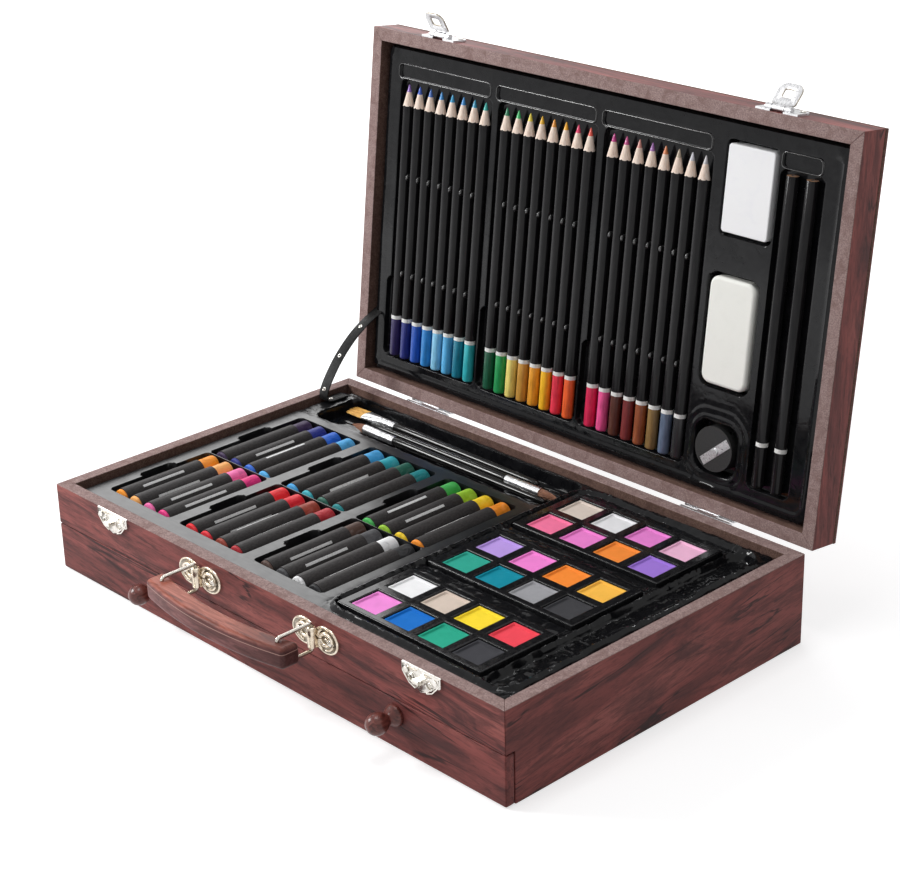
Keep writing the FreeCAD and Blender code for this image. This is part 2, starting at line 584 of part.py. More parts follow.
def bail_wire(x):
    """A squared loop of wire, split inside the barrel."""
    bend = amount("bail_bend")
    half = amount("bail_half_height")
    gap = amount("bail_split") / 2
    inner_y = amount(BAIL_Y)
    outer_y = amount(GRIP_Y)
    middle = amount(HANDLE_Z)
    diagonal = bend * (1 - math.cos(math.radians(45)))
    edges = []
    start = Vector(x, inner_y, middle + gap)
    for toward, along, out in ((1, -1, inner_y), (-1, 1, outer_y)):
        level = middle + toward * half
        bend_in = Vector(x, out, level - toward * bend)
        bend_mid = Vector(x, out + along * diagonal, level - toward * diagonal)
        bend_out = Vector(x, out + along * bend, level)
        edges.append(Part.LineSegment(start, bend_in).toShape())
        edges.append(Part.Arc(bend_in, bend_mid, bend_out).toShape())
        far = outer_y if toward == 1 else inner_y
        turn_in = Vector(x, far - along * bend, level)
        turn_mid = Vector(x, far - along * diagonal, level - toward * diagonal)
        turn_out = Vector(x, far, level - toward * bend)
        edges.append(Part.LineSegment(bend_out, turn_in).toShape())
        edges.append(Part.Arc(turn_in, turn_mid, turn_out).toShape())
        start = turn_out
    edges.append(Part.LineSegment(start, Vector(x, inner_y, middle - gap)).toShape())
    section = Part.Wire(Part.makeCircle(amount("bail_radius"), Vector(x, inner_y, middle + gap), UP))
    return Part.Wire(edges).makePipeShell([section], True, False)


for side, sign in ENDS.items():
    middle = f"{sign} * {HANDLE_SPACING} / 2"
    lobes = [
        rod(
            f"lobe_{side}_{end}",
            "lobe_radius",
            "handle_thick",
            (f"{middle} + {offset} * lobe_offset", f"-({HALF_DEPTH})", HANDLE_Z),
            "-y",
        )
        for end, offset in ENDS.items()
    ]
    waist = block(
        f"waist_{side}", centred(middle, "2 * lobe_offset"), PLATE_Y, centred(HANDLE_Z, "waist_height")
    )
    barrel_at = (middle, BAIL_Y, f"{HANDLE_Z} - barrel_height / 2")
    barrel = rod(f"barrel_{side}", "barrel_radius", "barrel_height", barrel_at, "z")
    web = block(
        f"barrel_web_{side}",
        centred(middle, "2 * barrel_radius"),
        (BAIL_Y, f"-({HALF_DEPTH})"),
        centred(HANDLE_Z, "waist_height"),
    )
    bore = rod(f"barrel_bore_{side}", "bail_radius + bail_fit", "barrel_height", barrel_at, "z")
    whole_plate = fuse(f"handle_plate_blank_{side}", lobes + [waist, web, barrel])
    keep(f"handle_plate_{side}", cut(f"handle_plate_{side}", whole_plate, [bore] + plate_holes))
    bail = doc.addObject("Part::Feature", f"bail_{side}")
    bail.Shape = bail_wire(amount(middle))
    keep(f"bail_{side}", bail)

# The grip's two long faces are arcs of one bow, and its holes lie on the arc midway between them
BOW_RADIUS = "((grip_length ^ 2 / 4 + grip_bow ^ 2) / (2 * grip_bow))"
HOLE_RISE = f"(({BOW_RADIUS} ^ 2 - {HANDLE_SPACING} ^ 2 / 4) ^ 0.5 - ({BOW_RADIUS} - grip_bow))"
GRIP_END = f"({GRIP_Y} + {HOLE_RISE})"
grip_body = doc.addObject("PartDesign::Body", "grip_body")
grip_plan = grip_body.newObject("Sketcher::SketchObject", "grip_plan")
grip_plan.AttachmentSupport = (origin_plane(grip_body, "XY_Plane"), "")
grip_plan.MapMode = "FlatFace"
bind(grip_plan, "AttachmentOffset.Base.z", f"{HANDLE_Z} - grip_height / 2")
half_grip = amount("grip_length / 2")
for number, face in enumerate((f"{GRIP_END} + grip_depth / 2", f"{GRIP_END} - grip_depth / 2")):
    level = amount(face)
    left = Vector(-half_grip, level, 0)
    right = Vector(half_grip, level, 0)
    crown = Vector(0, level - amount("grip_bow"), 0)
    grip_plan.addGeometry(Part.Arc(left, crown, right))
    rules = (
        ("DistanceX", 1, "-grip_length / 2"),
        ("DistanceY", 1, face),
        ("DistanceX", 2, "grip_length / 2"),
        ("DistanceY", 2, face),
    )
    for kind, end, formula in rules:
        rule = Sketcher.Constraint(kind, -1, 1, number, end, amount(formula))
        grip_plan.setExpression(f"Constraints[{grip_plan.addConstraint(rule)}]", in_sheet(formula))
    bow = grip_plan.addConstraint(Sketcher.Constraint("Radius", number, amount(BOW_RADIUS)))
    grip_plan.setExpression(f"Constraints[{bow}]", in_sheet(BOW_RADIUS))
for end, sign in ((1, -1), (2, 1)):
    inner_end = Vector(sign * half_grip, amount(f"{GRIP_END} + grip_depth / 2"), 0)
    outer_end = Vector(sign * half_grip, amount(f"{GRIP_END} - grip_depth / 2"), 0)
    line = grip_plan.addGeometry(Part.LineSegment(inner_end, outer_end))
    grip_plan.addConstraint(Sketcher.Constraint("Coincident", line, 1, 0, end))
    grip_plan.addConstraint(Sketcher.Constraint("Coincident", line, 2, 1, end))
grip_pad = grip_body.newObject("PartDesign::Pad", "grip_pad")
grip_pad.Profile = grip_plan
bind(grip_pad, "Length", "grip_height")
doc.recompute()
grip_fillet = grip_body.newObject("PartDesign::Fillet", "grip_fillet")
grip_fillet.Base = (grip_pad, [f"Edge{number}" for number in range(1, len(grip_pad.Shape.Edges) + 1)])
bind(grip_fillet, "Radius", "grip_round")
grip_body.Tip = grip_fillet
grip_holes = [
    rod(
        f"grip_hole_{side}",
        "bail_radius + grip_fit",
        "2 * grip_height",
        (f"{sign} * {HANDLE_SPACING} / 2", GRIP_Y, f"{HANDLE_Z} - grip_height"),
        "z",
    )
    for side, sign in ENDS.items()
]
keep("handle_grip", cut("handle_grip", grip_body, grip_holes))


# Formed trays: a sheet with a skirt all round and open pockets
def formed_tray(name, pockets, mouth, foot, inward):
    """A tray whose sheet faces the mouth, stands on the foot and has pockets cut in."""
    skin = f"{inward} * tray_sheet"
    reach_x = f"({INNER_X} - tray_gap)"
    reach_y = f"({INNER_Y} - tray_gap)"
    inside_x = f"({reach_x} - tray_sheet)"
    inside_y = f"({reach_y} - tray_sheet)"
    shell = block(
        name + "_block", (f"-{reach_x}", reach_x), (f"-{reach_y}", reach_y), sorted((mouth, foot), key=amount)
    )
    hollow = block(
        name + "_hollow",
        (f"-{inside_x}", inside_x),
        (f"-{inside_y}", inside_y),
        sorted((f"{mouth} + {skin}", f"{foot} + {skin}"), key=amount),
    )
    cups = []
    hollows = []
    for count, (x, y, depth) in enumerate(pockets):
        wide = (f"{x[0]} - tray_sheet", f"{x[1]} + tray_sheet")
        long = (f"{y[0]} - tray_sheet", f"{y[1]} + tray_sheet")
        floor = f"{mouth} + {inward} * ({depth})"
        deep = sorted((mouth, f"{floor} + {skin}"), key=amount)
        cups.append(block(f"{name}_cup_{count}", wide, long, deep))
        hollows.append(
            block(f"{name}_pocket_{count}", x, y, sorted((f"{mouth} - {skin}", floor), key=amount))
        )
    skirted = cut(name + "_skirted", shell, [hollow])
    return cut(name, fuse(name + "_cups", [skirted] + cups), hollows)


# Width and depth that the set in each tray takes up as laid out, with its margins
SET_WIDTH = {
    "base": "(2 * palette_place + palette_length + 2 * set_margin)",
    "lid": "(2 * graphite_place + 2 * graphite_pitch + 2 * lid_set_margin)",
}
SET_DEPTH = {
    "base": "(2 * palette_pitch + palette_width + 2 * set_end_margin)",
    "lid": "(pencil_tail + pencil_length + tip_room + lid_set_end_margin)",
}


# The set shrinks or grows with the case, so that it always fits between the walls
def across(size, tray="base"):
    """A size from side to side, in step with the case's width."""
    return f"({size} * case_width / {SET_WIDTH[tray]})"


def along(size, tray="base"):
    """A size from front to back, in step with the case's depth."""
    return f"({size} * case_depth / {SET_DEPTH[tray]})"


def both(size, tray="base"):
    """The size of something square or round, in step with the tighter of the two."""
    return f"({size} * min(case_width / {SET_WIDTH[tray]}; case_depth / {SET_DEPTH[tray]}))"


COLUMNS = {"left": -1, "middle": 0, "right": 1}
PASTEL_PITCH = across("pastel_pitch")
PASTEL_LENGTH = along("pastel_length")
PASTEL_X = {name: across(f"(pastel_middle + {step} * pastel_column)") for name, step in COLUMNS.items()}
PASTEL_Y = {"front": along("pastel_front_row"), "back": along("(pastel_front_row + pastel_row)")}
PALETTE_X = across("palette_place")
PALETTE_LENGTH = across("palette_length")
PALETTE_WIDTH = along("palette_width")
PALETTE_Y = {
    "front": along("(palette_middle - palette_pitch)"),
    "middle": along("palette_middle"),
    "back": along("(palette_middle + palette_pitch)"),
}
base_pockets = [
    (
        centred(x, f"{STICKS_IN_POCKET} * {PASTEL_PITCH} + 2 * pocket_play"),
        centred(y, f"{PASTEL_LENGTH} + 2 * pocket_play"),
        "pastel_depth",
    )
    for x in PASTEL_X.values()
    for y in PASTEL_Y.values()
]
base_pockets += [
    (
        centred(PALETTE_X, f"{PALETTE_LENGTH} + 2 * tray_gap"),
        centred(y, f"{PALETTE_WIDTH} + 2 * tray_gap"),
        "palette_depth",
    )
    for y in PALETTE_Y.values()
]
brush_x = (across("brush_left"), across("brush_right"))
base_pockets.append((brush_x, (along("brush_front"), along("brush_back")), "brush_depth"))
keep("base_tray", formed_tray("base_tray", base_pockets, TRAY_TOP, DECK_TOP, -1))

# Oil pastels: sticks in paper sleeves, four to a pocket
PASTEL_RADIUS = both("pastel_radius")
SLEEVE_RADIUS = both("sleeve_radius")
PASTEL_Z = f"{TRAY_TOP} - pastel_depth + {SLEEVE_RADIUS} + seat_gap"
paper_length = f"{PASTEL_LENGTH} - sleeve_front - sleeve_back"
sleeves = []
for row, y in PASTEL_Y.items():
    sticks = []
    for column, x in PASTEL_X.items():
        for step in range(STICKS_IN_POCKET):
            name = f"{row}_{column}_{step}"
            stick_x = spread(x, step, STICKS_IN_POCKET, PASTEL_PITCH)
            near = (stick_x, f"{y} - {PASTEL_LENGTH} / 2", PASTEL_Z)
            sticks.append(rod(f"stick_{name}", PASTEL_RADIUS, PASTEL_LENGTH, near, "y"))
            paper_at = (stick_x, f"{y} - {PASTEL_LENGTH} / 2 + sleeve_front", PASTEL_Z)
            paper = rod(f"paper_{name}", SLEEVE_RADIUS, paper_length, paper_at, "y")
            core = rod(f"paper_core_{name}", PASTEL_RADIUS, paper_length, paper_at, "y")
            sleeves.append(cut(f"sleeve_{name}", paper, [core]))
    keep(f"pastels_{row}_row", group(f"pastels_{row}_row", sticks))
keep("pastel_sleeves", group("pastel_sleeves", sleeves))

# Watercolour palettes: a moulded block with eight wells, and a paint cake in each well
PALETTE_LOW = f"{TRAY_TOP} - palette_depth + seat_gap"
PALETTE_TOP = f"({PALETTE_LOW} + palette_height)"
WELL_FLOOR = f"({PALETTE_TOP} - well_depth)"
CAKE_SIZE = both("cake_size")
well_size = f"{CAKE_SIZE} + 2 * well_fit"
cakes = []
for place, y in PALETTE_Y.items():
    wells = []
    for line in range(CAKE_ROWS):
        for step in range(CAKE_COLUMNS):
            name = f"{place}_{len(wells)}"
            well_x = spread(PALETTE_X, step, CAKE_COLUMNS, across("cake_pitch"))
            well_y = spread(y, line, CAKE_ROWS, along("cake_row_pitch"))
            wells.append(
                block(
                    f"well_{name}",
                    centred(well_x, well_size),
                    centred(well_y, well_size),
                    (WELL_FLOOR, f"{PALETTE_TOP} + well_depth"),
                )
            )
            cakes.append(
                block(
                    f"cake_{name}",
                    centred(well_x, CAKE_SIZE),
                    centred(well_y, CAKE_SIZE),
                    (WELL_FLOOR, f"{WELL_FLOOR} + cake_thick"),
                )
            )
    moulding = block(
        f"moulding_{place}",
        centred(PALETTE_X, PALETTE_LENGTH),
        centred(y, PALETTE_WIDTH),
        (PALETTE_LOW, PALETTE_TOP),
    )
    keep(f"palette_{place}", cut(f"palette_{place}", moulding, wells))
keep("paint_cakes", group("paint_cakes", cakes))

# Brushes: a tapered handle, a ferrule and bristles, two with the bristles to the left and one to the right
BRUSH_RADIUS = both("brush_radius")
BRUSH_Z = f"({TRAY_TOP} - brush_depth + {BRUSH_RADIUS} + seat_gap)"
ferrule_length = across("ferrule_length")
handles = []
ferrules = []
bristles = []
for name, axis, sign in (("flat", "x", 1), ("fine", "x", 1), ("round", "-x", -1)):
    end = across(f"(brush_left + {name}_brush_gap)" if sign == 1 else f"(brush_right - {name}_brush_gap)")
    place = along(f"{name}_brush_place")
    hair_length = across(f"{name}_bristle")
    handle_length = across(f"{name}_brush_handle")
    hair_at = (end, place, BRUSH_Z)
    ferrule_at = (f"{end} + {sign} * {hair_length}", place, BRUSH_Z)
    handle_at = (f"{end} + {sign} * ({hair_length} + {ferrule_length})", place, BRUSH_Z)
    if name == "flat":
        hair = block(
            "flat_bristles",
            (end, f"{end} + {hair_length}"),
            centred(place, along("flat_bristle_width")),
            centred(BRUSH_Z, "flat_bristle_thick"),
        )
    else:
        hair = taper(f"{name}_bristles", both("bristle_tip_radius"), BRUSH_RADIUS, hair_length, hair_at, axis)
    bristles.append(hair)
    ferrules.append(rod(f"{name}_ferrule", BRUSH_RADIUS, ferrule_length, ferrule_at, axis))
    handles.append(
        taper(f"{name}_handle", BRUSH_RADIUS, both("brush_tail_radius"), handle_length, handle_at, axis)
    )
keep("brush_handles", group("brush_handles", handles))
keep("brush_ferrules", group("brush_ferrules", ferrules))
keep("brush_bristles", group("brush_bristles", bristles))

# Lid tray and what it holds, measured up the lid from the hinge edge
PENCIL_X = {
    "cool": across("(pencil_middle - pencil_group)", "lid"),
    "bright": across("pencil_middle", "lid"),
    "warm": across("(pencil_middle + pencil_group)", "lid"),
}
PENCIL_PITCH = across("pencil_pitch", "lid")
PENCIL_RADIUS = both("pencil_radius", "lid")
PENCIL_LENGTH = along("pencil_length", "lid")
POINT_LENGTH = along("point_length", "lid")
PENCIL_TAIL = f"({HALF_DEPTH} - {along('pencil_tail', 'lid')})"
PENCIL_LOW = f"{PENCIL_TAIL} - {PENCIL_LENGTH} - {along('tip_room', 'lid')}"
PENCIL_Z = f"({LID_TRAY} + pencil_sink)"
PENCIL_DEPTH = f"pencil_sink + {PENCIL_RADIUS} * cos(180 deg / {PENCIL_SIDES}) + seat_gap"
GRAPHITE_X = across("graphite_place", "lid")
GRAPHITE_PITCH = across("graphite_pitch", "lid")
ERASER_X = across("eraser_place", "lid")
SOFT_X = across("soft_eraser_place", "lid")
SHARPENER_X = across("sharpener_place", "lid")
ERASER_WIDTH = across("eraser_width", "lid")
ERASER_LENGTH = along("eraser_length", "lid")
SOFT_LENGTH = along("soft_eraser_length", "lid")
ERASER_FAR = "(eraser_end_gap + eraser_length + soft_eraser_gap + soft_eraser_length / 2)"
ERASER_Y = f"({along('(eraser_end_gap + eraser_length / 2)', 'lid')} - {HALF_DEPTH})"
SOFT_Y = f"({along(ERASER_FAR, 'lid')} - {HALF_DEPTH})"
SHARPENER_Y = f"({HALF_DEPTH} - {along('sharpener_rise', 'lid')})"
pencil_y = (PENCIL_LOW, f"{PENCIL_TAIL} + pocket_play")
lid_pockets = [
    (centred(x, f"{PENCILS_IN_GROUP} * {PENCIL_PITCH} + 2 * pocket_play"), pencil_y, PENCIL_DEPTH)
    for x in PENCIL_X.values()
]
lid_pockets.append(
    (centred(GRAPHITE_X, f"2 * {GRAPHITE_PITCH} + 2 * pocket_play"), pencil_y, PENCIL_DEPTH)
)
for x, y, width, length, depth in (
    (ERASER_X, ERASER_Y, ERASER_WIDTH, ERASER_LENGTH, "eraser_depth"),
    (SOFT_X, SOFT_Y, ERASER_WIDTH, SOFT_LENGTH, "eraser_depth"),
    (SHARPENER_X, SHARPENER_Y, "2 * sharpener_radius", "2 * sharpener_radius", "sharpener_depth"),
):
    lid_pockets.append(
        (centred(x, f"{width} + 2 * pocket_play"), centred(y, f"{length} + 2 * pocket_play"), depth)
    )
keep("lid_tray", formed_tray("lid_tray", lid_pockets, LID_TRAY, LID_CEILING, 1), OPEN_LID)


def hexagon(name, length, at):
    """A six-sided pencil blank that runs up the lid."""
    piece = doc.addObject("Part::Prism", name)
    piece.Polygon = PENCIL_SIDES
    piece.Placement = Placement(Vector(), TURNS["-y"])
    bind(piece, "Circumradius", PENCIL_RADIUS)
    bind(piece, "Height", length)
    settle(piece, at)
    return piece


for family, x in PENCIL_X.items():
    pencils = []
    for step in range(PENCILS_IN_GROUP):
        name = f"{family}_{step}"
        pencil_x = spread(x, step, PENCILS_IN_GROUP, PENCIL_PITCH)
        tail = (pencil_x, PENCIL_TAIL, PENCIL_Z)
        neck = (pencil_x, f"{PENCIL_TAIL} - {PENCIL_LENGTH} + {POINT_LENGTH}", PENCIL_Z)
        turned_radius = f"{PENCIL_RADIUS} + pencil_round"
        shaft = rod(f"shaft_{name}", turned_radius, f"{PENCIL_LENGTH} - {POINT_LENGTH}", tail, "-y")
        point = taper(f"point_{name}", turned_radius, both("lead_radius", "lid"), POINT_LENGTH, neck, "-y")
        pencil = doc.addObject("Part::Common", f"pencil_{name}")
        pencil.Base = hexagon(f"blank_{name}", PENCIL_LENGTH, tail)
        pencil.Tool = fuse(f"turned_{name}", [shaft, point])
        pencils.append(pencil)
    keep(f"pencils_{family}", group(f"pencils_{family}", pencils), OPEN_LID)
graphite = [
    hexagon(
        f"graphite_{side}",
        PENCIL_LENGTH,
        (f"{GRAPHITE_X} + {sign} * {GRAPHITE_PITCH} / 2", PENCIL_TAIL, PENCIL_Z),
    )
    for side, sign in ENDS.items()
]
keep("graphite_pencils", group("graphite_pencils", graphite), OPEN_LID)

ERASER_Z = (f"{LID_TRAY} + eraser_depth - seat_gap - eraser_thick", f"{LID_TRAY} + eraser_depth - seat_gap")
for label, x, y, length, corner in (
    ("eraser_firm", ERASER_X, ERASER_Y, ERASER_LENGTH, "eraser_corner"),
    ("eraser_soft", SOFT_X, SOFT_Y, SOFT_LENGTH, "soft_eraser_corner"),
):
    cake = block(f"{label}_block", centred(x, ERASER_WIDTH), centred(y, length), ERASER_Z)
    keep(label, group(label, [rounded(f"{label}_round", cake, corner, UP)]), OPEN_LID)

# Sharpener: a round body with a slanted blade seat, drawn about its own middle with the blade below
SEAT_LOW = "-sharpener_thick"
seat_x = centred("0", "blade_length")
seat_y = centred("blade_offset", "blade_width")
drum = rod("sharpener_drum", "sharpener_radius", "sharpener_thick", ("0", "0", SEAT_LOW), "z")
seat = block(
    "blade_seat",
    centred("0", "blade_length + 2 * blade_fit"),
    centred("blade_offset", "blade_width + 2 * blade_fit"),
    (f"{SEAT_LOW} - blade_thick", f"{SEAT_LOW} + blade_thick"),
)
pencil_mouth = taper(
    "pencil_mouth",
    "sharpener_bore",
    "blade_screw_radius",
    "2 * sharpener_radius",
    ("-sharpener_radius", "blade_offset - blade_width", "-sharpener_thick / 2"),
    "x",
)
screw_at = ("0", "blade_offset", SEAT_LOW)
screw_bore = rod("blade_screw_bore", "blade_screw_radius + screw_fit", "blade_screw_depth", screw_at, "z")
strip = block("blade_strip", seat_x, seat_y, (SEAT_LOW, f"{SEAT_LOW} + blade_thick"))
screw_shank = rod("blade_screw_shank", "blade_screw_radius", "blade_screw_depth", screw_at, "z")
screw_head = rod(
    "blade_screw_head",
    "blade_screw_head_radius",
    "blade_screw_head",
    ("0", "blade_offset", f"{SEAT_LOW} - blade_screw_head"),
    "z",
)
in_pocket = Placement(
    Vector(
        amount(SHARPENER_X),
        amount(SHARPENER_Y),
        amount(f"{LID_TRAY} + sharpener_depth - seat_gap"),
    ),
    Rotation(UP, amount("sharpener_angle")),
)
keep("sharpener_body", cut("sharpener_body", drum, [seat, pencil_mouth, screw_bore]), OPEN_LID * in_pocket)
keep("sharpener_blade", cut("sharpener_blade", strip, [screw_bore]), OPEN_LID * in_pocket)
keep("sharpener_screw", fuse("sharpener_screw", [screw_shank, screw_head]), OPEN_LID * in_pocket)


# Lid strap: a ribbon that lies on the base tray, curves up and lies on the lid tray
def ribbon_path(start, heading, steps):
    """Edges of straight runs and arcs in the YZ plane, each step a length or a radius with a turn."""
    edges = []
    for size, turn in steps:
        ahead = Vector(0, *Rotation(Vector(1, 0, 0), heading).multVec(Vector(0, 1, 0))[1:])
        if turn == 0:
            end = start + ahead * size
            edges.append(Part.LineSegment(start, end).toShape())
        else:
            side = 1 if turn > 0 else -1
            centre = start + Rotation(Vector(1, 0, 0), 90 * side).multVec(ahead) * size
            half_way = centre + Rotation(Vector(1, 0, 0), turn / 2).multVec(start - centre)
            end = centre + Rotation(Vector(1, 0, 0), turn).multVec(start - centre)
            edges.append(Part.Arc(start, half_way, end).toShape())
            heading += turn
        start = end
    return edges, start, heading


strap_bend = amount("strap_bend")
strap_edge = amount(f"-{INNER_X} + strap_inset - strap_width / 2")
strap_half = amount("strap_thick / 2")
strap_start = Vector(
    strap_edge,
    amount(f"{INNER_Y} - strap_back"),
    amount(f"{TRAY_TOP} + seat_gap + strap_thick / 2"),
)
low_steps = [
    (amount("strap_foot"), 0),
    (strap_bend, -90),
    (amount("strap_low_radius"), -amount("strap_low_angle")),
    (amount("strap_high_radius"), -amount("strap_high_angle")),
]
strap_edges, strap_end, strap_heading = ribbon_path(strap_start, 180, low_steps)
lid_heading = 180 - amount("lid_angle")
foot_turn = lid_heading - strap_heading
lid_normal = OPEN_LID.Rotation.multVec(Vector(0, 0, -1))
lid_face = OPEN_LID.multVec(Vector(0, 0, amount(f"{LID_TRAY} - seat_gap - strap_thick / 2")))
ahead = Rotation(Vector(1, 0, 0), strap_heading).multVec(Vector(0, 1, 0))
setback = strap_bend * abs(math.tan(math.radians(foot_turn / 2)))
run = (lid_face - strap_end).dot(lid_normal) / ahead.dot(lid_normal) - setback
high_edges, _, _ = ribbon_path(
    strap_end, strap_heading, [(run, 0), (strap_bend, foot_turn), (amount("strap_lid_foot"), 0)]
)
strap_line = Part.Wire(strap_edges + high_edges)
section_corners = [
    strap_start + Vector(0, 0, -strap_half),
    strap_start + Vector(amount("strap_width"), 0, -strap_half),
    strap_start + Vector(amount("strap_width"), 0, strap_half),
    strap_start + Vector(0, 0, strap_half),
]
section = Part.makePolygon(section_corners + section_corners[:1])
strap = doc.addObject("Part::Feature", "lid_strap")
strap.Shape = strap_line.makePipeShell([section], True, False)
keep("lid_strap", strap)

# Bright eyelets on the strap's outer face, set out along its two curves
eyelets = []
low_curve, high_curve = strap_edges[2], strap_edges[3]
low_middle = (low_curve.FirstParameter + low_curve.LastParameter) / 2
for curve, spot in (
    (low_curve, low_curve.FirstParameter),
    (low_curve, low_middle),
    (high_curve, high_curve.FirstParameter),
    (high_curve, high_curve.LastParameter),
):
    outward = (curve.valueAt(spot) - curve.Curve.Center).normalize()
    middle = curve.valueAt(spot) + outward * strap_half + Vector(amount("strap_width / 2"), 0, 0)
    eyelet = doc.addObject("Part::Cylinder", f"eyelet_{len(eyelets)}")
    bind(eyelet, "Radius", "eyelet_radius")
    bind(eyelet, "Height", "eyelet_thick")
    eyelet.Placement = Placement(middle, Rotation(UP, outward))
    eyelets.append(eyelet)
keep("strap_eyelets", group("strap_eyelets", eyelets))

# Each finished sub-part is checked and written
doc.recompute()
for item in doc.Objects:
    if "Invalid" in item.State or "Error" in item.State:
        raise RuntimeError(f"{item.Label} failed: {item.State}")
for label, piece in sub_parts.items():
    if piece.Shape.isNull() or not piece.Shape.isValid():
        raise RuntimeError(f"{label} has no sound shape")
os.makedirs("parts", exist_ok=True)
for label, piece in sub_parts.items():
    piece.Shape.exportStep(f"parts/{label}.step")
    print(label, len(piece.Shape.Solids), round(piece.Shape.Volume, 1))
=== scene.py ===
import json
import math
import random
from collections import namedtuple

import bmesh
import bpy
from mathutils import Matrix, Vector, noise

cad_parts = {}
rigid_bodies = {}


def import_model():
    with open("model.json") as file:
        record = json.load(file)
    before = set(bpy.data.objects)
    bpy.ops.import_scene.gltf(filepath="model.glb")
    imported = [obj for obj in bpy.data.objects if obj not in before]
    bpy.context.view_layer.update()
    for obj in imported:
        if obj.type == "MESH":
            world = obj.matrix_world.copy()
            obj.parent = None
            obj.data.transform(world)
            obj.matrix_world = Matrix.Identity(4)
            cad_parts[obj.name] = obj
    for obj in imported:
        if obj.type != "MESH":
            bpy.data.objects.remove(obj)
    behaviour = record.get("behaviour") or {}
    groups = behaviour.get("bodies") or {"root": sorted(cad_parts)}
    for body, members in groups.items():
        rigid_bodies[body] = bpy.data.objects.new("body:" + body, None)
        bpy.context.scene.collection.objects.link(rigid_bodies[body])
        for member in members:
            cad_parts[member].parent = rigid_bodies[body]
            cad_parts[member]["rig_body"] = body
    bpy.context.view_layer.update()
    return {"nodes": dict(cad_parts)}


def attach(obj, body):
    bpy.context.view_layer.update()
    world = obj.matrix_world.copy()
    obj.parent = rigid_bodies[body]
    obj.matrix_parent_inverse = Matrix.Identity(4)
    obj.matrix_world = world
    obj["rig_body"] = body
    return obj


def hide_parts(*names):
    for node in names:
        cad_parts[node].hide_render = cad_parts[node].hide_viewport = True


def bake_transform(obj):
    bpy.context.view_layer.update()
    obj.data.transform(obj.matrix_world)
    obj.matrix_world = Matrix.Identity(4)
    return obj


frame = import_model()
scene = bpy.context.scene

# Case boards
# The base and the lid are boxes of fibreboard walls, mitred at the corners and wrapped outside in a printed
# rosewood foil. The rims show bare board, the inner faces are stained brown, and all edges are broken.
MM = 0.001
PIN = Vector((0, 117.5, 52)) * MM
LID_ANGLE = math.radians(96.8)
OPEN_LID = Matrix.Translation(PIN) @ Matrix.Rotation(-LID_ANGLE, 4, "X") @ Matrix.Translation(-PIN)
LID_BODIES = ("lid", "latch_left", "latch_right")
SHARP_EDGE = math.radians(30)
SMOOTH_BELOW = math.radians(50)
BOARD_EASE = 0.45 * MM
LONG_EDGE = 3 * MM
RIM_HEIGHT = 55.2 * MM
RIM_REACH = 0.5 * MM
VEIN_LEVELS = 40
FOIL_GLOSS = 0.46
BARE_GLOSS = 0.85
EVEN = (1, 1, 1)


def surface(name, colour, roughness, **values):
    """A new finish, with the values that are the same all over set on its shader."""
    finish = bpy.data.materials.new(name)
    finish.use_nodes = True
    shader = finish.node_tree.nodes["Principled BSDF"]
    values.update({"Base_Color": (*colour, 1), "Roughness": roughness})
    for socket, value in values.items():
        shader.inputs[socket.replace("_", " ")].default_value = value
    return finish


def node(finish, kind, feeds=None, **settings):
    """One node of a finish, with what feeds it."""
    made = finish.node_tree.nodes.new(kind)
    for setting, value in settings.items():
        setattr(made, setting, value)
    for socket, source in (feeds or {}).items():
        if isinstance(source, bpy.types.NodeSocket):
            finish.node_tree.links.new(source, made.inputs[socket])
        else:
            made.inputs[socket].default_value = source
    return made


def feed(finish, socket, source):
    """Leads a value into the finish's shader."""
    finish.node_tree.links.new(source, finish.node_tree.nodes["Principled BSDF"].inputs[socket])


def spot(finish, lengths=EVEN, tilt=(0, 0, 0)):
    """Where a point lies on the piece, with the grain drawn out along its tilted axes."""
    place = node(finish, "ShaderNodeTexCoord").outputs["Object"]
    feeds = {"Vector": place, "Rotation": tilt, "Scale": lengths}
    return node(finish, "ShaderNodeMapping", feeds, vector_type="TEXTURE").outputs["Vector"]


def mottle(finish, place, scale, detail=4.0, distortion=0.0, roughness=0.5):
    """Cloudy variation at one scale, in patches per metre."""
    return node(finish, "ShaderNodeTexNoise", {
        "Vector": place, "Scale": scale, "Detail": detail, "Distortion": distortion, "Roughness": roughness,
    }).outputs["Fac"]


def ramp(finish, value, stops):
    """Colours or greys set along a value."""
    made = node(finish, "ShaderNodeValToRGB", {"Fac": value})
    bands = made.color_ramp.elements
    while len(bands) < len(stops):
        bands.new(0.5)
    for band, (place, colour) in zip(bands, stops):
        band.position = place
        band.color = (*colour, 1) if isinstance(colour, tuple) else (colour, colour, colour, 1)
    return made.outputs["Color"]


def blended(finish, share, first, second):
    """Two colours mixed by a share."""
    made = node(finish, "ShaderNodeMix", data_type="RGBA")
    for socket, source in ((0, share), (6, first), (7, second)):
        if isinstance(source, bpy.types.NodeSocket):
            finish.node_tree.links.new(source, made.inputs[socket])
        else:
            made.inputs[socket].default_value = (*source, 1)
    return made.outputs[2]


def sum_of(finish, first, second, operation="ADD"):
    """A sum on two values."""
    return node(finish, "ShaderNodeMath", {0: first, 1: second}, operation=operation).outputs[0]


def relief(finish, height, depth, strength=1.0):
    """Small unevenness of the surface."""
    feeds = {"Height": height, "Distance": depth, "Strength": strength}
    feed(finish, "Normal", node(finish, "ShaderNodeBump", feeds).outputs["Normal"])


def within(finish, value, limit):
    """One where a value lies between the limit and its negative, else nothing."""
    return sum_of(finish, sum_of(finish, value, value, "MULTIPLY"), limit ** 2, "LESS_THAN")


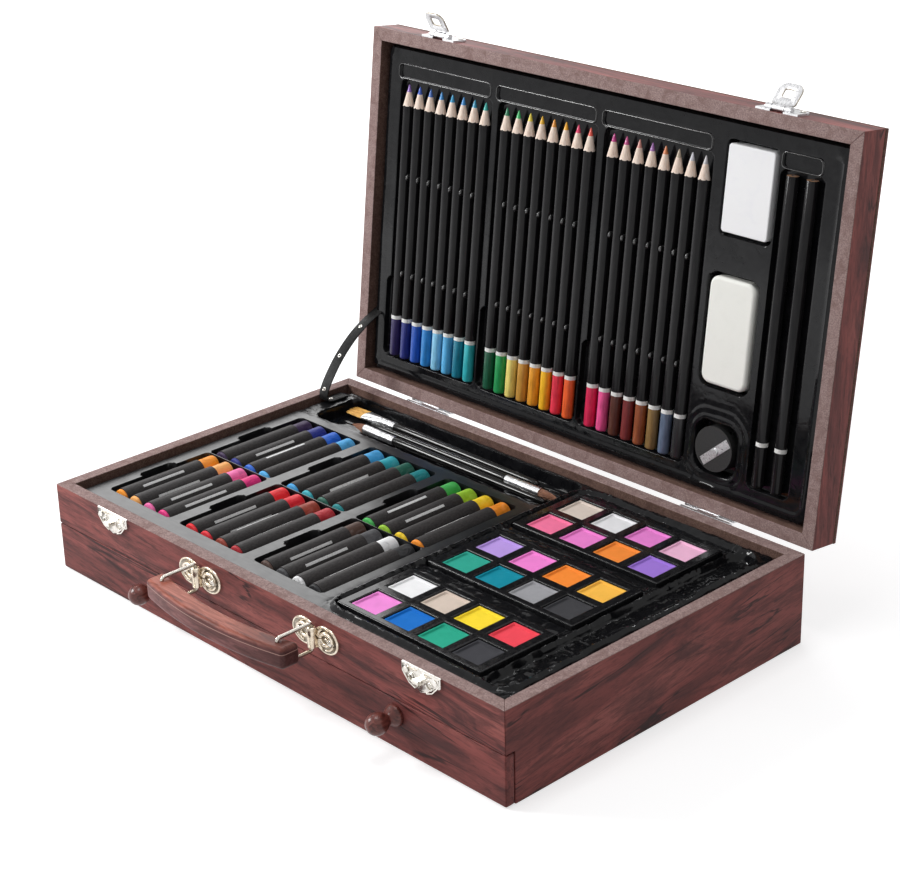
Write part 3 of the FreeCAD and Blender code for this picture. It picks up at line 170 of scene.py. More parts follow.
def rosewood_foil(name, lengths, tilt, inner_axis, inner_limit):
    """Printed rosewood outside, bare board on the rim, and a brown stain on the inner face."""
    finish = surface(name, (0.19, 0.06, 0.056), FOIL_GLOSS, Specular_IOR_Level=0.13)
    grain = spot(finish, lengths, tilt)
    wild = spot(finish, tuple(1 + 0.5 * (length - 1) for length in lengths), tilt)
    place = node(finish, "ShaderNodeTexCoord").outputs["Object"]
    cloud = mottle(finish, wild, 36, 6, 0.9, 0.55)
    wood = ramp(finish, cloud, [
        (0.3, (0.13, 0.038, 0.035)), (0.5, (0.25, 0.07, 0.063)), (0.72, (0.37, 0.12, 0.105)),
    ])
    smoke = mottle(finish, wild, 85, 8, 0.8, 0.68)
    wood = blended(finish, ramp(finish, smoke, [(0.37, 0.75), (0.51, 0.0)]), wood, (0.05, 0.02, 0.021))
    streak = mottle(finish, grain, 300, 6, 0.5, 0.65)
    wood = blended(finish, ramp(finish, streak, [(0.37, 0.55), (0.52, 0.0)]), wood, (0.06, 0.02, 0.02))
    level = sum_of(finish, mottle(finish, grain, 42, 5, 0.6, 0.55), VEIN_LEVELS, "MULTIPLY")
    line = node(finish, "ShaderNodeMath", {0: level}, operation="SINE").outputs[0]
    broken = ramp(finish, mottle(finish, wild, 70, 3), [(0.46, 0.0), (0.58, 1.0)])
    vein = sum_of(finish, ramp(finish, line, [(0.84, 0.0), (0.99, 0.85)]), broken, "MULTIPLY")
    wood = blended(finish, vein, wood, (0.016, 0.009, 0.01))
    pore = mottle(finish, grain, 1500, 2)
    wood = blended(finish, ramp(finish, pore, [(0.34, 0.35), (0.46, 0.0)]), wood, (0.03, 0.014, 0.015))
    axes = node(finish, "ShaderNodeSeparateXYZ", {"Vector": place})
    on_rim = within(finish, sum_of(finish, axes.outputs["Z"], RIM_HEIGHT, "SUBTRACT"), RIM_REACH)
    inside = within(finish, axes.outputs[inner_axis], inner_limit)
    chip = mottle(finish, place, 1300, 3)
    patch = ramp(finish, mottle(finish, place, 150, 6, 1.0, 0.65), [(0.36, 0.6), (0.56, 0.0)])
    stain = ramp(finish, chip, [
        (0.3, (0.09, 0.05, 0.041)), (0.5, (0.15, 0.088, 0.07)), (0.7, (0.21, 0.13, 0.1)),
    ])
    board = ramp(finish, chip, [
        (0.3, (0.2, 0.138, 0.13)), (0.5, (0.3, 0.212, 0.2)), (0.7, (0.4, 0.295, 0.28)),
    ])
    shade = blended(finish, inside, wood, blended(finish, patch, stain, (0.075, 0.04, 0.033)))
    shade = blended(finish, on_rim, shade, blended(finish, patch, board, (0.17, 0.1, 0.09)))
    feed(finish, "Base Color", shade)
    bare = sum_of(finish, on_rim, inside, "MAXIMUM")
    feed(finish, "Roughness", ramp(finish, bare, [(0.0, FOIL_GLOSS), (1.0, BARE_GLOSS)]))
    relief(finish, sum_of(finish, chip, pore), 0.06 * MM, 0.5)
    return finish


def shown(mesh, finishes, body, stands_for, home=None):
    """Puts a finished mesh in its place on a body, in place of the solids that it stands for."""
    for finish in finishes:
        mesh.materials.append(finish)
    mesh.polygons.foreach_set("use_smooth", [True] * len(mesh.polygons))
    mesh.set_sharp_from_angle(angle=SMOOTH_BELOW)
    piece = bpy.data.objects.new(mesh.name, mesh)
    scene.collection.objects.link(piece)
    if home is not None:
        piece.matrix_world = home
    if body is not None:
        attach(piece, body)
    if stands_for:
        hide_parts(*stands_for)
    return piece


def eased(name, width, finish, least=0.0, steps=2):
    """A solid with its edges broken, shown in place of the sharp one."""
    source = frame["nodes"][name]
    body = source["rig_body"]
    home = OPEN_LID if body in LID_BODIES else Matrix.Identity(4)
    shape = bmesh.new()
    shape.from_mesh(source.data)
    bmesh.ops.remove_doubles(shape, verts=shape.verts, dist=1e-6)
    bmesh.ops.dissolve_limit(shape, angle_limit=math.radians(1), verts=shape.verts, edges=shape.edges)
    sharp = [
        edge
        for edge in shape.edges
        if edge.is_manifold and edge.calc_face_angle() > SHARP_EDGE and edge.calc_length() > least
    ]
    bmesh.ops.bevel(
        shape, geom=sharp, offset=width, segments=steps, profile=0.5, affect="EDGES", clamp_overlap=True
    )
    for face in shape.faces:
        face.material_index = 0
    shape.transform(home.inverted())
    mesh = bpy.data.meshes.new(name + "_shown")
    shape.to_mesh(mesh)
    shape.free()
    piece = shown(mesh, [finish], body, [name], home)
    even = piece.modifiers.new("even_shading", "WEIGHTED_NORMAL")
    even.keep_sharp = True


ALONG_X = rosewood_foil("rosewood_across", (10, 1, 1), (0, 0.04, 0), "Y", 107.3 * MM)
ALONG_Y = rosewood_foil("rosewood_deep", (1, 9, 1), (0.1, 0, 0), "X", 179.8 * MM)
PANEL = rosewood_foil("rosewood_panel", (10, 1, 1), (0, 0, 0.05), "Z", 75.5 * MM)
for board, finish in (
    ("base_front_rail", ALONG_X),
    ("base_back_panel", ALONG_X),
    ("base_left_side", ALONG_Y),
    ("base_right_side", ALONG_Y),
    ("lid_front_wall", ALONG_X),
    ("lid_back_wall", ALONG_X),
    ("lid_left_wall", ALONG_Y),
    ("lid_right_wall", ALONG_Y),
    ("lid_panel", PANEL),
):
    eased(board, BOARD_EASE, finish, LONG_EDGE)

# Deck and floor
# Thin bare fibreboard sheets inside the base: the deck carries the tray, and the floor carries the drawer.
# Both are sawn to size and let into the walls.
BARE_BOARD = surface("bare_board", (0.42, 0.31, 0.23), 0.82, Specular_IOR_Level=0.2)
fibre = mottle(BARE_BOARD, spot(BARE_BOARD, (2.5, 1, 1)), 900, 5)
tone = ramp(BARE_BOARD, fibre, [
    (0.3, (0.28, 0.2, 0.14)), (0.55, (0.43, 0.32, 0.23)), (0.75, (0.55, 0.43, 0.32)),
])
cloud = ramp(BARE_BOARD, mottle(BARE_BOARD, spot(BARE_BOARD), 40, 3), [(0.4, 0.25), (0.65, 0.0)])
feed(BARE_BOARD, "Base Color", blended(BARE_BOARD, cloud, tone, (0.3, 0.21, 0.15)))
relief(BARE_BOARD, fibre, 0.08 * MM)
for board in ("base_deck", "base_floor"):
    eased(board, BOARD_EASE, BARE_BOARD, LONG_EDGE)

# Drawer
# A shallow box of bare board with a foil-faced front as wide as the case. Two turned and polished knobs are
# screwed on from inside.
DRAWER_EASE = 0.8 * MM
for board in ("drawer_left_side", "drawer_right_side", "drawer_back", "drawer_bottom"):
    eased(board, BOARD_EASE, BARE_BOARD, LONG_EDGE)
eased("drawer_front", DRAWER_EASE, ALONG_X, LONG_EDGE)


def angles_round(sides):
    """The angles of points evenly round a circle."""
    return [2 * math.pi * step / sides for step in range(sides)]


class Shape:
    """Corners and faces gathered for one mesh, each face with the number of its finish."""

    def __init__(self):
        self.corners = []
        self.faces = []
        self.finish = []

    def loft(self, rings, finish=0, round_again=False):
        """Joins rings of corners into a closed skin. The finish is a number, or is told by band and step."""
        first = len(self.corners)
        count = len(rings[0])
        pick = finish if callable(finish) else lambda band, step: finish
        for ring in rings:
            self.corners.extend(ring)
        last = first + (len(rings) - 1) * count
        for band in range(len(rings) if round_again else len(rings) - 1):
            ahead = count if band < len(rings) - 1 else first - last
            for step in range(count):
                a = first + band * count + step
                b = first + band * count + (step + 1) % count
                self.faces.append((a, b, b + ahead, a + ahead))
                self.finish.append(pick(band, step))
        if round_again:
            return
        self.faces.append(tuple(range(first + count - 1, first - 1, -1)))
        self.faces.append(tuple(range(last, last + count)))
        self.finish.extend((pick(0, 0), pick(len(rings) - 2, 0)))

    def turned(self, profile, home, sides=32, finish=0):
        """A turned body along the home's Z axis, from distances and radii in millimetres."""
        rings = [
            [
                home @ (Vector((radius * math.cos(turn), radius * math.sin(turn), along)) * MM)
                for turn in angles_round(sides)
            ]
            for along, radius in profile
        ]
        self.loft(rings, finish)

    def swept(self, path, radii, sides=8, finish=0):
        """A round wire along points, with a radius at each."""
        rings = []
        for number, (point, radius) in enumerate(zip(path, radii)):
            ahead = path[min(number + 1, len(path) - 1)] - path[max(number - 1, 0)]
            across = ahead.to_track_quat("Z", "Y").to_matrix()
            rings.append([
                point + across @ Vector((radius * math.cos(turn), radius * math.sin(turn), 0))
                for turn in angles_round(sides)
            ])
        self.loft(rings, finish)

    def mesh(self, name):
        """The gathered skin as a mesh whose faces all look outward."""
        made = bpy.data.meshes.new(name)
        made.from_pydata(self.corners, [], self.faces)
        made.polygons.foreach_set("material_index", self.finish)
        shape = bmesh.new()
        shape.from_mesh(made)
        bmesh.ops.recalc_face_normals(shape, faces=shape.faces)
        shape.to_mesh(made)
        shape.free()
        return made


def clouded(finish, lengths, cloud, shades, gloss=None, depth=0.0, strength=1.0):
    """A finish shaded by one cloud drawn out along the grain, which may also set its gloss and relief."""
    value = mottle(finish, spot(finish, lengths), *cloud)
    feed(finish, "Base Color", ramp(finish, value, shades))
    if gloss:
        feed(finish, "Roughness", ramp(finish, value, gloss))
    if depth:
        relief(finish, value, depth, strength)
    return finish


POLISHED_WOOD = clouded(
    surface("polished_knob_wood", (0.13, 0.035, 0.028), 0.28, Specular_IOR_Level=0.4), (1, 6, 1),
    (420, 5, 1.5), [(0.3, (0.06, 0.015, 0.012)), (0.5, (0.13, 0.035, 0.028)), (0.7, (0.2, 0.06, 0.048))],
    depth=0.03 * MM,
)
KNOB_PROFILE = (
    (0, 5.9), (0.3, 6.2), (1.4, 6.2), (2.2, 5.9), (3.4, 5.0), (4.6, 4.2), (5.8, 3.6), (6.6, 3.35), (7.2, 3.5),
    (7.8, 4.2), (8.6, 4.9), (10, 5.6), (11.6, 5.95), (13.2, 6.0), (14.8, 5.7), (16.4, 4.9), (17.7, 3.6),
    (18.5, 2.2), (18.9, 0.9), (19, 0.1),
)
KNOB_PLACES = (-92, 109)
FRONT_Y = -115
KNOB_Z = 20.5
knobs = Shape()
for x in KNOB_PLACES:
    home = Matrix.Translation(Vector((x, FRONT_Y, KNOB_Z)) * MM) @ Matrix.Rotation(math.pi / 2, 4, "X")
    knobs.turned(KNOB_PROFILE, home, 40)
shown(knobs.mesh("turned_knobs"), [POLISHED_WOOD], "drawer", ["drawer_knobs"])

STEEL = clouded(
    surface("plain_steel", (0.62, 0.62, 0.63), 0.32, Metallic=1.0), (1, 1, 3), (1800, 4),
    [(0.3, (0.45, 0.45, 0.46)), (0.7, (0.72, 0.72, 0.73))], gloss=[(0.3, 0.24), (0.7, 0.42)],
)
SMALL_EASE = 0.25 * MM
eased("drawer_knob_screws", SMALL_EASE, STEEL)

# Hinges
# Two butt hinges of pressed steel, screwed on the back, each with its knuckles rolled round a pin. The screws
# and nails of the base and the lid have nickel plated heads.
NICKEL = clouded(
    surface("pale_nickel", (0.78, 0.75, 0.7), 0.22, Metallic=1.0), EVEN, (260, 4, 0.6),
    [(0.25, (0.6, 0.56, 0.5)), (0.5, (0.76, 0.73, 0.68)), (0.75, (0.85, 0.83, 0.79))],
    gloss=[(0.3, 0.18), (0.7, 0.32)],
)
for part in ("hinge_base_leaves", "hinge_lid_leaves"):
    eased(part, SMALL_EASE, STEEL, LONG_EDGE)
PIN_EASE = 0.2 * MM
eased("hinge_pins", PIN_EASE, STEEL)
HEAD_EASE = 0.3 * MM
for part in ("base_fasteners", "lid_fasteners"):
    eased(part, HEAD_EASE, NICKEL)

# Latches
# Pressed plates on the lid's front, each with a slotted hasp on a pin, and keepers on the base with a hooked
# tongue. The keepers have a scalloped lower edge and are stamped with a pair of scrolls. Some of their
# ridges and the hasps' walls are in a darker nickel, which is painted shade.
# A darker copy of the nickel, used as painted shade: on the hasps' walls, on some keeper ridges, and on the
# wall round each handle plate's sunk middle.
SHADE_NICKEL = clouded(
    surface("shade_painted_nickel", (0.36, 0.32, 0.27), 0.38, Metallic=1.0), EVEN, (420, 5, 0.8),
    [(0.3, (0.2, 0.175, 0.14)), (0.7, (0.5, 0.45, 0.38))],
)
LATCH_EASE = 0.22 * MM
for part in ("latch_plate_left", "latch_plate_right"):
    eased(part, LATCH_EASE, STEEL, LONG_EDGE)
eased("latch_pins", PIN_EASE, STEEL)
LATCH_PIN = Vector((0, -117.2, 58.6))
HASP_OUTLINE = (8, 42.6, 56.2, 5, 2.2)
SLOT_OUTLINE = (3.5, 46.4, 51.6, 1.2, 1.2)
HASP_BACK = -117.9
HASP_FACE = -119.1
HASP_EDGE = (
    (0.25, HASP_BACK), (0, -118.2), (0, -118.8), (0.3, HASP_FACE), (1.3, HASP_FACE), (1.8, -118.55),
)
SLOT_EDGE = ((1.3, -118.55), (0.8, HASP_FACE), (0.2, HASP_FACE), (0, -118.9), (0, -118.1), (0.25, HASP_BACK))
SHADED_BANDS = (0, 1, 9, 10)
LATCH_X = 130


def rounded(half, low, high, low_corner, high_corner, steps=8):
    """Points round an upright rectangle with rounded corners."""
    points = []
    for across, level, corner, start in (
        (half - low_corner, low + low_corner, low_corner, -math.pi / 2),
        (half - high_corner, high - high_corner, high_corner, 0),
        (high_corner - half, high - high_corner, high_corner, math.pi / 2),
        (low_corner - half, low + low_corner, low_corner, math.pi),
    ):
        for step in range(steps):
            turn = start + math.pi / 2 * step / (steps - 1)
            points.append((across + corner * math.cos(turn), level + corner * math.sin(turn)))
    return points


def shrunk(outline, inset):
    """Points round an upright rectangle with rounded corners, all moved inward."""
    half, low, high, low_corner, high_corner = outline
    return rounded(half - inset, low + inset, high - inset, low_corner - inset, high_corner - inset)


def upright(line, y, middle=0.0):
    """Points of an upright outline, as far forward as y."""
    return [Vector((middle + x, y, z)) * MM for x, z in line]


def curled_neck():
    """The side of a hasp's neck, from its shoulder and once round the pin."""
    side_line = [(HASP_BACK, 55.4), (HASP_FACE + 0.05, 55.4)]
    for radius, angles in ((1.9, range(180, -106, -15)), (0.9, range(-105, 211, 15))):
        for angle in angles:
            turn = math.radians(angle)
            side_line.append((LATCH_PIN.y + radius * math.cos(turn), LATCH_PIN.z + radius * math.sin(turn)))
    return side_line


for side, middle, opening in (("left", -LATCH_X, 55), ("right", LATCH_X, 128)):
    hasp = Shape()
    skin = []
    for inset, y in HASP_EDGE:
        skin.append(upright(shrunk(HASP_OUTLINE, inset), y, middle))
    for out, y in SLOT_EDGE:
        skin.append(upright(shrunk(SLOT_OUTLINE, -out), y, middle))
    # The hasp's outer walls and the walls of its slot are in the darker nickel: painted shade.
    hasp.loft(skin, lambda band, step: 1 if band in SHADED_BANDS else 0, round_again=True)
    hasp.loft([[Vector((middle + x, y, z)) * MM for y, z in curled_neck()] for x in (-4, -2, 2, 4)])
    swing = Matrix.Translation(LATCH_PIN * MM) @ Matrix.Rotation(math.radians(-opening), 4, "X")
    home = OPEN_LID @ swing @ Matrix.Translation(-LATCH_PIN * MM)
    mesh = hasp.mesh(f"formed_hasp_{side}")
    shown(mesh, [STEEL, SHADE_NICKEL], f"latch_{side}", [f"hasp_{side}"], home)


def scroll(middle, outer, inner, turns, start, steps=26, stretch=1.0):
    """Points of a flat spiral on the front of the case."""
    points = []
    for step in range(steps + 1):
        share = step / steps
        angle = start + turns * 2 * math.pi * share
        radius = outer + (inner - outer) * share
        points.append(middle + Vector((stretch * radius * math.cos(angle), 0, radius * math.sin(angle))))
    return points


def ridge(shape, points, thick, finish=0):
    """A raised line that thins to its ends."""
    last = len(points)
    radii = [thick * (0.45 + 0.55 * math.sin(math.pi * (step + 0.5) / last)) for step in range(last)]
    shape.swept(points, radii, 8, finish)


def scalloped(middle, top):
    """The edge of a keeper plate: straight above, with ears and a scalloped belly below."""
    edge = [(-14, 0), (-14, -5.4), (-13.2, -6.2), (-11.7, -6)]
    for step in range(-20, 21):
        x = step * 0.55
        belly = 6 + 7 * math.cos(math.pi * x / 24) ** 1.2
        edge.append((x, -belly + 0.5 * abs(math.sin(math.pi * x / 4.4))))
    edge += [(11.7, -6), (13.2, -6.2), (14, -5.4), (14, 0)]
    return [(middle + x, top + z) for x, z in edge]


PLATE_BACK = FRONT_Y
PLATE_FACE = -116.2
TONGUE_Z = 49.0
TONGUE = (
    (PLATE_FACE + 0.2, 1.2, 1.2), (-119.2, 1.2, 1.2), (-119.25, 1.2, 1.7), (-120, 1.2, 1.7),
    (-120.2, 0.9, 1.4),
)
for side, middle in (("left", -LATCH_X), ("right", LATCH_X)):
    keeper = Shape()
    edge = scalloped(middle, 55)
    inner = [(middle + (x - middle) * 0.965, 50 + (z - 50) * 0.965) for x, z in edge]
    keeper.loft([
        upright(edge, PLATE_BACK), upright(edge, PLATE_FACE + 0.3), upright(inner, PLATE_FACE),
    ])
    tongue = []
    for y, below, above in TONGUE:
        low = TONGUE_Z - below
        high = TONGUE_Z + above
        tongue.append(upright(((-2.2, low), (2.2, low), (2.2, high), (-2.2, high)), y, middle))
    keeper.loft(tongue)
    for hand in (-1, 1):
        heart = Vector((middle + hand * 6.6, PLATE_FACE, 48.6)) * MM
        ridge(keeper, scroll(heart, 3.4 * MM, 0.7 * MM, hand * 1.4, math.pi / 2), 0.55 * MM)
        # This inner scroll and the fold below are in the darker nickel: painted shade along the stamping.
        ridge(keeper, scroll(heart, 2.5 * MM, 0.9 * MM, hand * 1.1, math.pi * 0.4), 0.4 * MM, 1)
        rim = [(hand * 13, 54.2), (hand * 13.1, 50.4), (hand * 11, 48), (hand * 8.2, 45), (hand * 4, 43.2)]
        ridge(keeper, upright(rim, PLATE_FACE, middle), 0.5 * MM)
        fold = [(hand * 2.6, 53.6), (hand * 5, 53.2), (hand * 8, 53.4)]
        ridge(keeper, upright(fold, PLATE_FACE, middle), 0.4 * MM, 1)
    mesh = keeper.mesh(f"stamped_keeper_{side}")
    shown(mesh, [NICKEL, SHADE_NICKEL], "base", [f"keeper_{side}"])

# Carrying handle
# Two lobed plates stamped with scrolls, each with an upright barrel for a bail of bent wire, and a bowed grip
# of reddish hardwood with rounded edges that hangs between the bails.
CHAMPAGNE = clouded(
    surface("champagne_nickel", (0.78, 0.68, 0.55), 0.26, Metallic=1.0), EVEN, (300, 4, 0.5),
    [(0.3, (0.6, 0.5, 0.38)), (0.7, (0.86, 0.78, 0.66))],
)
BAIL_WIRE = clouded(
    surface("bail_wire", (0.5, 0.47, 0.42), 0.26, Metallic=1.0), EVEN, (120, 3),
    [(0.3, (0.44, 0.41, 0.37)), (0.7, (0.55, 0.52, 0.47))],
)
HANDLE_X = 49
HANDLE_Z = 43.5
BARREL_Y = -118.0
LOBE_OFFSET = 8.6
LOBE_WIDE = 9.6
LOBE_TALL = 7.8
PLATE_STEPS = 72
PLATE_EDGE = (
    (PLATE_BACK, 0), (PLATE_FACE + 0.3, 0), (PLATE_FACE, 0.3), (PLATE_FACE, 1.0), (PLATE_FACE + 0.4, 1.4),
)
SHADED_BAND = 3
LEAF = ((2.9, 0.9), (3.3, 2.4), (4.3, 4.4), (6, 6))
WEB = ((-2.6, HANDLE_Z - 5.6), (2.6, HANDLE_Z - 5.6), (2.6, HANDLE_Z + 5.6), (-2.6, HANDLE_Z + 5.6))
BARREL_PROFILE = (
    (0.5, 1.2), (0, 1.3), (0, 2.3), (0.3, 2.6), (11.7, 2.6), (12, 2.3), (12, 1.3), (11.5, 1.2),
)


def lobed(middle, inset):
    """The edge of a handle plate: two oval lobes side by side."""
    edge = []
    for step in range(PLATE_STEPS):
        turn = 2 * math.pi * (step + 0.5) / PLATE_STEPS
        x = (LOBE_OFFSET + LOBE_WIDE - inset) * math.cos(turn)
        share = min(abs(abs(x) - LOBE_OFFSET) / (LOBE_WIDE - inset), 1.0)
        tall = max((LOBE_TALL - inset) * math.sqrt(1 - share ** 2), 0.05 if abs(x) > LOBE_OFFSET else 2.6)
        edge.append((middle + x, HANDLE_Z + math.copysign(tall, math.sin(turn))))
    return edge


for side, middle in (("left", -HANDLE_X), ("right", HANDLE_X)):
    plate = Shape()
    # The sloping wall round the plate's sunk middle is in the darker nickel: painted shade in the recess.
    plate.loft(
        [upright(lobed(middle, inset), y) for y, inset in PLATE_EDGE],
        lambda band, step: 1 if band == SHADED_BAND else 0,
    )
    for hand in (-1, 1):
        lobe = Vector((middle + hand * LOBE_OFFSET, PLATE_FACE + 0.1, HANDLE_Z)) * MM
        ridge(plate, scroll(lobe, 5.5 * MM, 0.9 * MM, hand * 1.55, -math.pi / 2, 40, 1.2), 1.3 * MM)
        for level in (-1, 1):
            leaf = [(hand * x, HANDLE_Z + level * z) for x, z in LEAF]
            ridge(plate, upright(leaf, PLATE_FACE, middle), 1.05 * MM)
    foot = Matrix.Translation(Vector((middle, BARREL_Y, HANDLE_Z - 6)) * MM)
    plate.turned(BARREL_PROFILE, foot, 28)
    plate.loft([upright(WEB, y, middle) for y in (PLATE_FACE + 0.3, BARREL_Y)])
    mesh = plate.mesh(f"stamped_handle_plate_{side}")
    shown(mesh, [CHAMPAGNE, SHADE_NICKEL], "base", [f"handle_plate_{side}"])
    wire = frame["nodes"][f"bail_{side}"]
    wire.data.materials.clear()
    wire.data.materials.append(BAIL_WIRE)

GRIP_WOOD = surface("grip_hardwood", (0.28, 0.09, 0.065), 0.42, Specular_IOR_Level=0.14)
strand = mottle(GRIP_WOOD, spot(GRIP_WOOD, (9, 1, 1)), 600, 6, 1.0)
# The top is painted lighter and more orange and the flanks darker, by which way the surface faces: painted
# light and shade.
face = ramp(GRIP_WOOD, strand, [
    (0.3, (0.2, 0.056, 0.037)), (0.5, (0.31, 0.09, 0.06)), (0.72, (0.42, 0.14, 0.1)),
])
shaded_flank = ramp(GRIP_WOOD, strand, [
    (0.3, (0.1, 0.042, 0.041)), (0.5, (0.18, 0.072, 0.07)), (0.72, (0.27, 0.115, 0.11)),
])
outward = node(GRIP_WOOD, "ShaderNodeTexCoord").outputs["Normal"]
upward = node(GRIP_WOOD, "ShaderNodeSeparateXYZ", {"Vector": outward}).outputs["Z"]
tone = blended(GRIP_WOOD, ramp(GRIP_WOOD, upward, [(0.3, 0.0), (0.75, 1.0)]), shaded_flank, face)
figure = mottle(GRIP_WOOD, spot(GRIP_WOOD, (5, 1, 1)), 130, 6, 1.5)
vein = ramp(GRIP_WOOD, figure, [(0.38, 0.65), (0.52, 0.0)])
tone = blended(GRIP_WOOD, vein, tone, (0.075, 0.027, 0.024))
# Darker towards the grip's right end: painted shade.
grip_axes = node(GRIP_WOOD, "ShaderNodeSeparateXYZ", {"Vector": spot(GRIP_WOOD)})
shade_to_right_end = node(GRIP_WOOD, "ShaderNodeMapRange", {
    "Value": grip_axes.outputs["X"], "From Min": 0.012, "From Max": 0.056, "To Max": 0.7,
})
tone = blended(GRIP_WOOD, shade_to_right_end.outputs["Result"], tone, (0.055, 0.022, 0.021))
# A thin pale line round the flanks just below the top is a painted highlight.
above_highlight_line = sum_of(GRIP_WOOD, grip_axes.outputs["Z"], (HANDLE_Z + 2.9) * MM, "SUBTRACT")
painted_highlight_line = within(GRIP_WOOD, above_highlight_line, 0.22 * MM)
feed(GRIP_WOOD, "Base Color", blended(GRIP_WOOD, painted_highlight_line, tone, (0.42, 0.25, 0.21)))
relief(GRIP_WOOD, strand, 0.05 * MM, 0.6)
grip = frame["nodes"]["handle_grip"]
grip.data.materials.clear()
grip.data.materials.append(GRIP_WOOD)

# Base tray
# One thin sheet of black plastic drawn over a mould: pockets for the pastels, with finger notches at their
# left, for the palettes and the brushes, and a raised bead round the palettes. The flange is satin, and the
# sheet is glossy and crumpled round the palettes and the brushes.
Pocket = namedtuple("Pocket", "left right near far depth corner lip")
SHEET = 0.6 * MM
SKIRT = 9.0
FINE_STEP = 0.4
TRAY_X = 179.2
TRAY_Y = 106.7
TRAY_TOP = 51.0
TRAY_EDGE = Pocket(-178.4, 178.4, -105.9, 105.9, 0, 8, 0)


def smooth(share):
    """A share from nothing to one, eased at both ends."""
    share = min(max(share, 0.0), 1.0)
    return share * share * (3 - 2 * share)


def lines_between(limit, steps, edges):
    """Grid lines with a spacing up to each given place, and close together at each edge of a pocket."""
    wanted = [edge + number * FINE_STEP for edge in edges for number in range(-3, 4)]
    start = -limit
    for end, step in steps:
        count = round((end - start) / step)
        wanted += [start + (end - start) * number / count for number in range(count + 1)]
        start = end
    kept = []
    for line in sorted(wanted):
        if -limit <= line <= limit and (not kept or line - kept[-1] > FINE_STEP / 2):
            kept.append(line)
    kept[-1] = limit
    return kept


def outside(x, y, pocket):
    """How far a point lies outside a pocket with rounded corners."""
    over_x = abs(x - (pocket.left + pocket.right) / 2) - (pocket.right - pocket.left) / 2 + pocket.corner
    over_y = abs(y - (pocket.near + pocket.far) / 2) - (pocket.far - pocket.near) / 2 + pocket.corner
    return math.hypot(max(over_x, 0), max(over_y, 0)) + min(max(over_x, over_y), 0) - pocket.corner


def drop(x, y, pocket):
    """How deep a pocket has drawn the sheet at a point."""
    reach = pocket.lip
    if not (pocket.left - reach < x < pocket.right + reach and pocket.near - reach < y < pocket.far + reach):
        return 0.0
    return pocket.depth * smooth(1 - outside(x, y, pocket) / reach)


def bead(x, y, ring, width, height):
    """How high a bead along the edge of a rounded rectangle stands at a point."""
    return height * smooth(1 - abs(outside(x, y, ring)) / width)


def crumpled(x, y):
    """Folds of the thin sheet, about one millimetre from crest to trough."""
    broad = noise.noise(Vector((x * 0.08, y * 0.08, 3)))
    across = 0.5 - 2 * abs(noise.noise(Vector((x * 0.07, y * 0.3, 9))))
    along = 0.5 - 2 * abs(noise.noise(Vector((x * 0.3, y * 0.07, 15))))
    fold = across + (along - across) * smooth((x - 144) / 8)
    fine = 0.4 - 2 * abs(noise.noise(Vector((x * 0.34, y * 0.34, 21))))
    return 0.3 * broad + 0.6 * fold + 0.34 * fine


def drawn_sheet(name, pockets, x_steps, y_steps, depth_at, level, inward, glossy=None):
    """The mesh of a plastic sheet drawn to a depth at each point, turned down round its edge."""
    sides = [edge for pocket in pockets for edge in (pocket.left, pocket.right)]
    ends = [edge for pocket in pockets for edge in (pocket.near, pocket.far)]
    columns = lines_between(TRAY_X, x_steps, sides)
    rows = lines_between(TRAY_Y, y_steps, ends)
    corners = []
    for y in rows:
        for x in columns:
            deep = depth_at(x, y) + SKIRT * smooth(outside(x, y, TRAY_EDGE) / 0.8)
            corners.append((x * MM, y * MM, (level + inward * deep) * MM))
    width = len(columns)
    faces = []
    for row in range(len(rows) - 1):
        for a in range(row * width, row * width + width - 1):
            faces.append((a, a + 1, a + width + 1, a + width))
    if inward > 0:
        faces = [face[::-1] for face in faces]
    mesh = bpy.data.meshes.new(name)
    mesh.from_pydata(corners, [], faces)
    if glossy is not None:
        mesh.polygons.foreach_set("material_index", [
            1 if glossy(face.center.x / MM, face.center.y / MM) else 0 for face in mesh.polygons
        ])
    return mesh


def thickened(piece):
    """Gives a drawn sheet its thickness, behind its face."""
    thick = piece.modifiers.new("sheet", "SOLIDIFY")
    thick.thickness = SHEET
    thick.offset = -1


def drawn_plastic(name, specular, smoothest, roughest, crease_depth):
    """Black sheet with a little crease and haze."""
    finish = surface(name, (0.007, 0.007, 0.008), smoothest, Specular_IOR_Level=specular)
    place = spot(finish)
    crease = mottle(finish, place, 110, 5, 1.2, 0.5)
    black = ramp(finish, crease, [(0.3, (0.004, 0.004, 0.005)), (0.7, (0.01, 0.01, 0.011))])
    feed(finish, "Base Color", black)
    feed(finish, "Roughness", ramp(finish, crease, [(0.3, smoothest), (0.7, roughest)]))
    peel = sum_of(finish, mottle(finish, place, 900, 2), 0.06, "MULTIPLY")
    relief(finish, sum_of(finish, crease, peel), crease_depth, 0.5)
    return finish


PASTEL_COLUMNS = (-137.0, -69.5, -2.0)
PASTEL_ROWS = (-55.5, 19.1)
PALETTE_ROWS = (-67.0, -1.5, 64.0)
BASE_POCKETS = []
for x in PASTEL_COLUMNS:
    for y in PASTEL_ROWS:
        BASE_POCKETS.append(Pocket(x - 28.6, x + 28.6, y - 36.2, y + 36.2, 11, 3, 0.8))
        BASE_POCKETS.append(Pocket(x - 33.2, x - 26, y - 12, y + 12, 11, 4, 0.8))
BASE_POCKETS += [Pocket(41.2, 149.8, y - 27.3, y + 27.3, 5.5, 2, 1.4) for y in PALETTE_ROWS]
BRUSH_TROUGH = Pocket(-164.5, 35, 66.5, 103, 8, 7, 1.6)
BASE_POCKETS.append(BRUSH_TROUGH)
BASE_POCKETS.append(Pocket(154, 167.5, -96, 97, 4.5, 6, 3))
PALETTE_RING = Pocket(38, 171, -98.5, 101, 0, 12, 0)
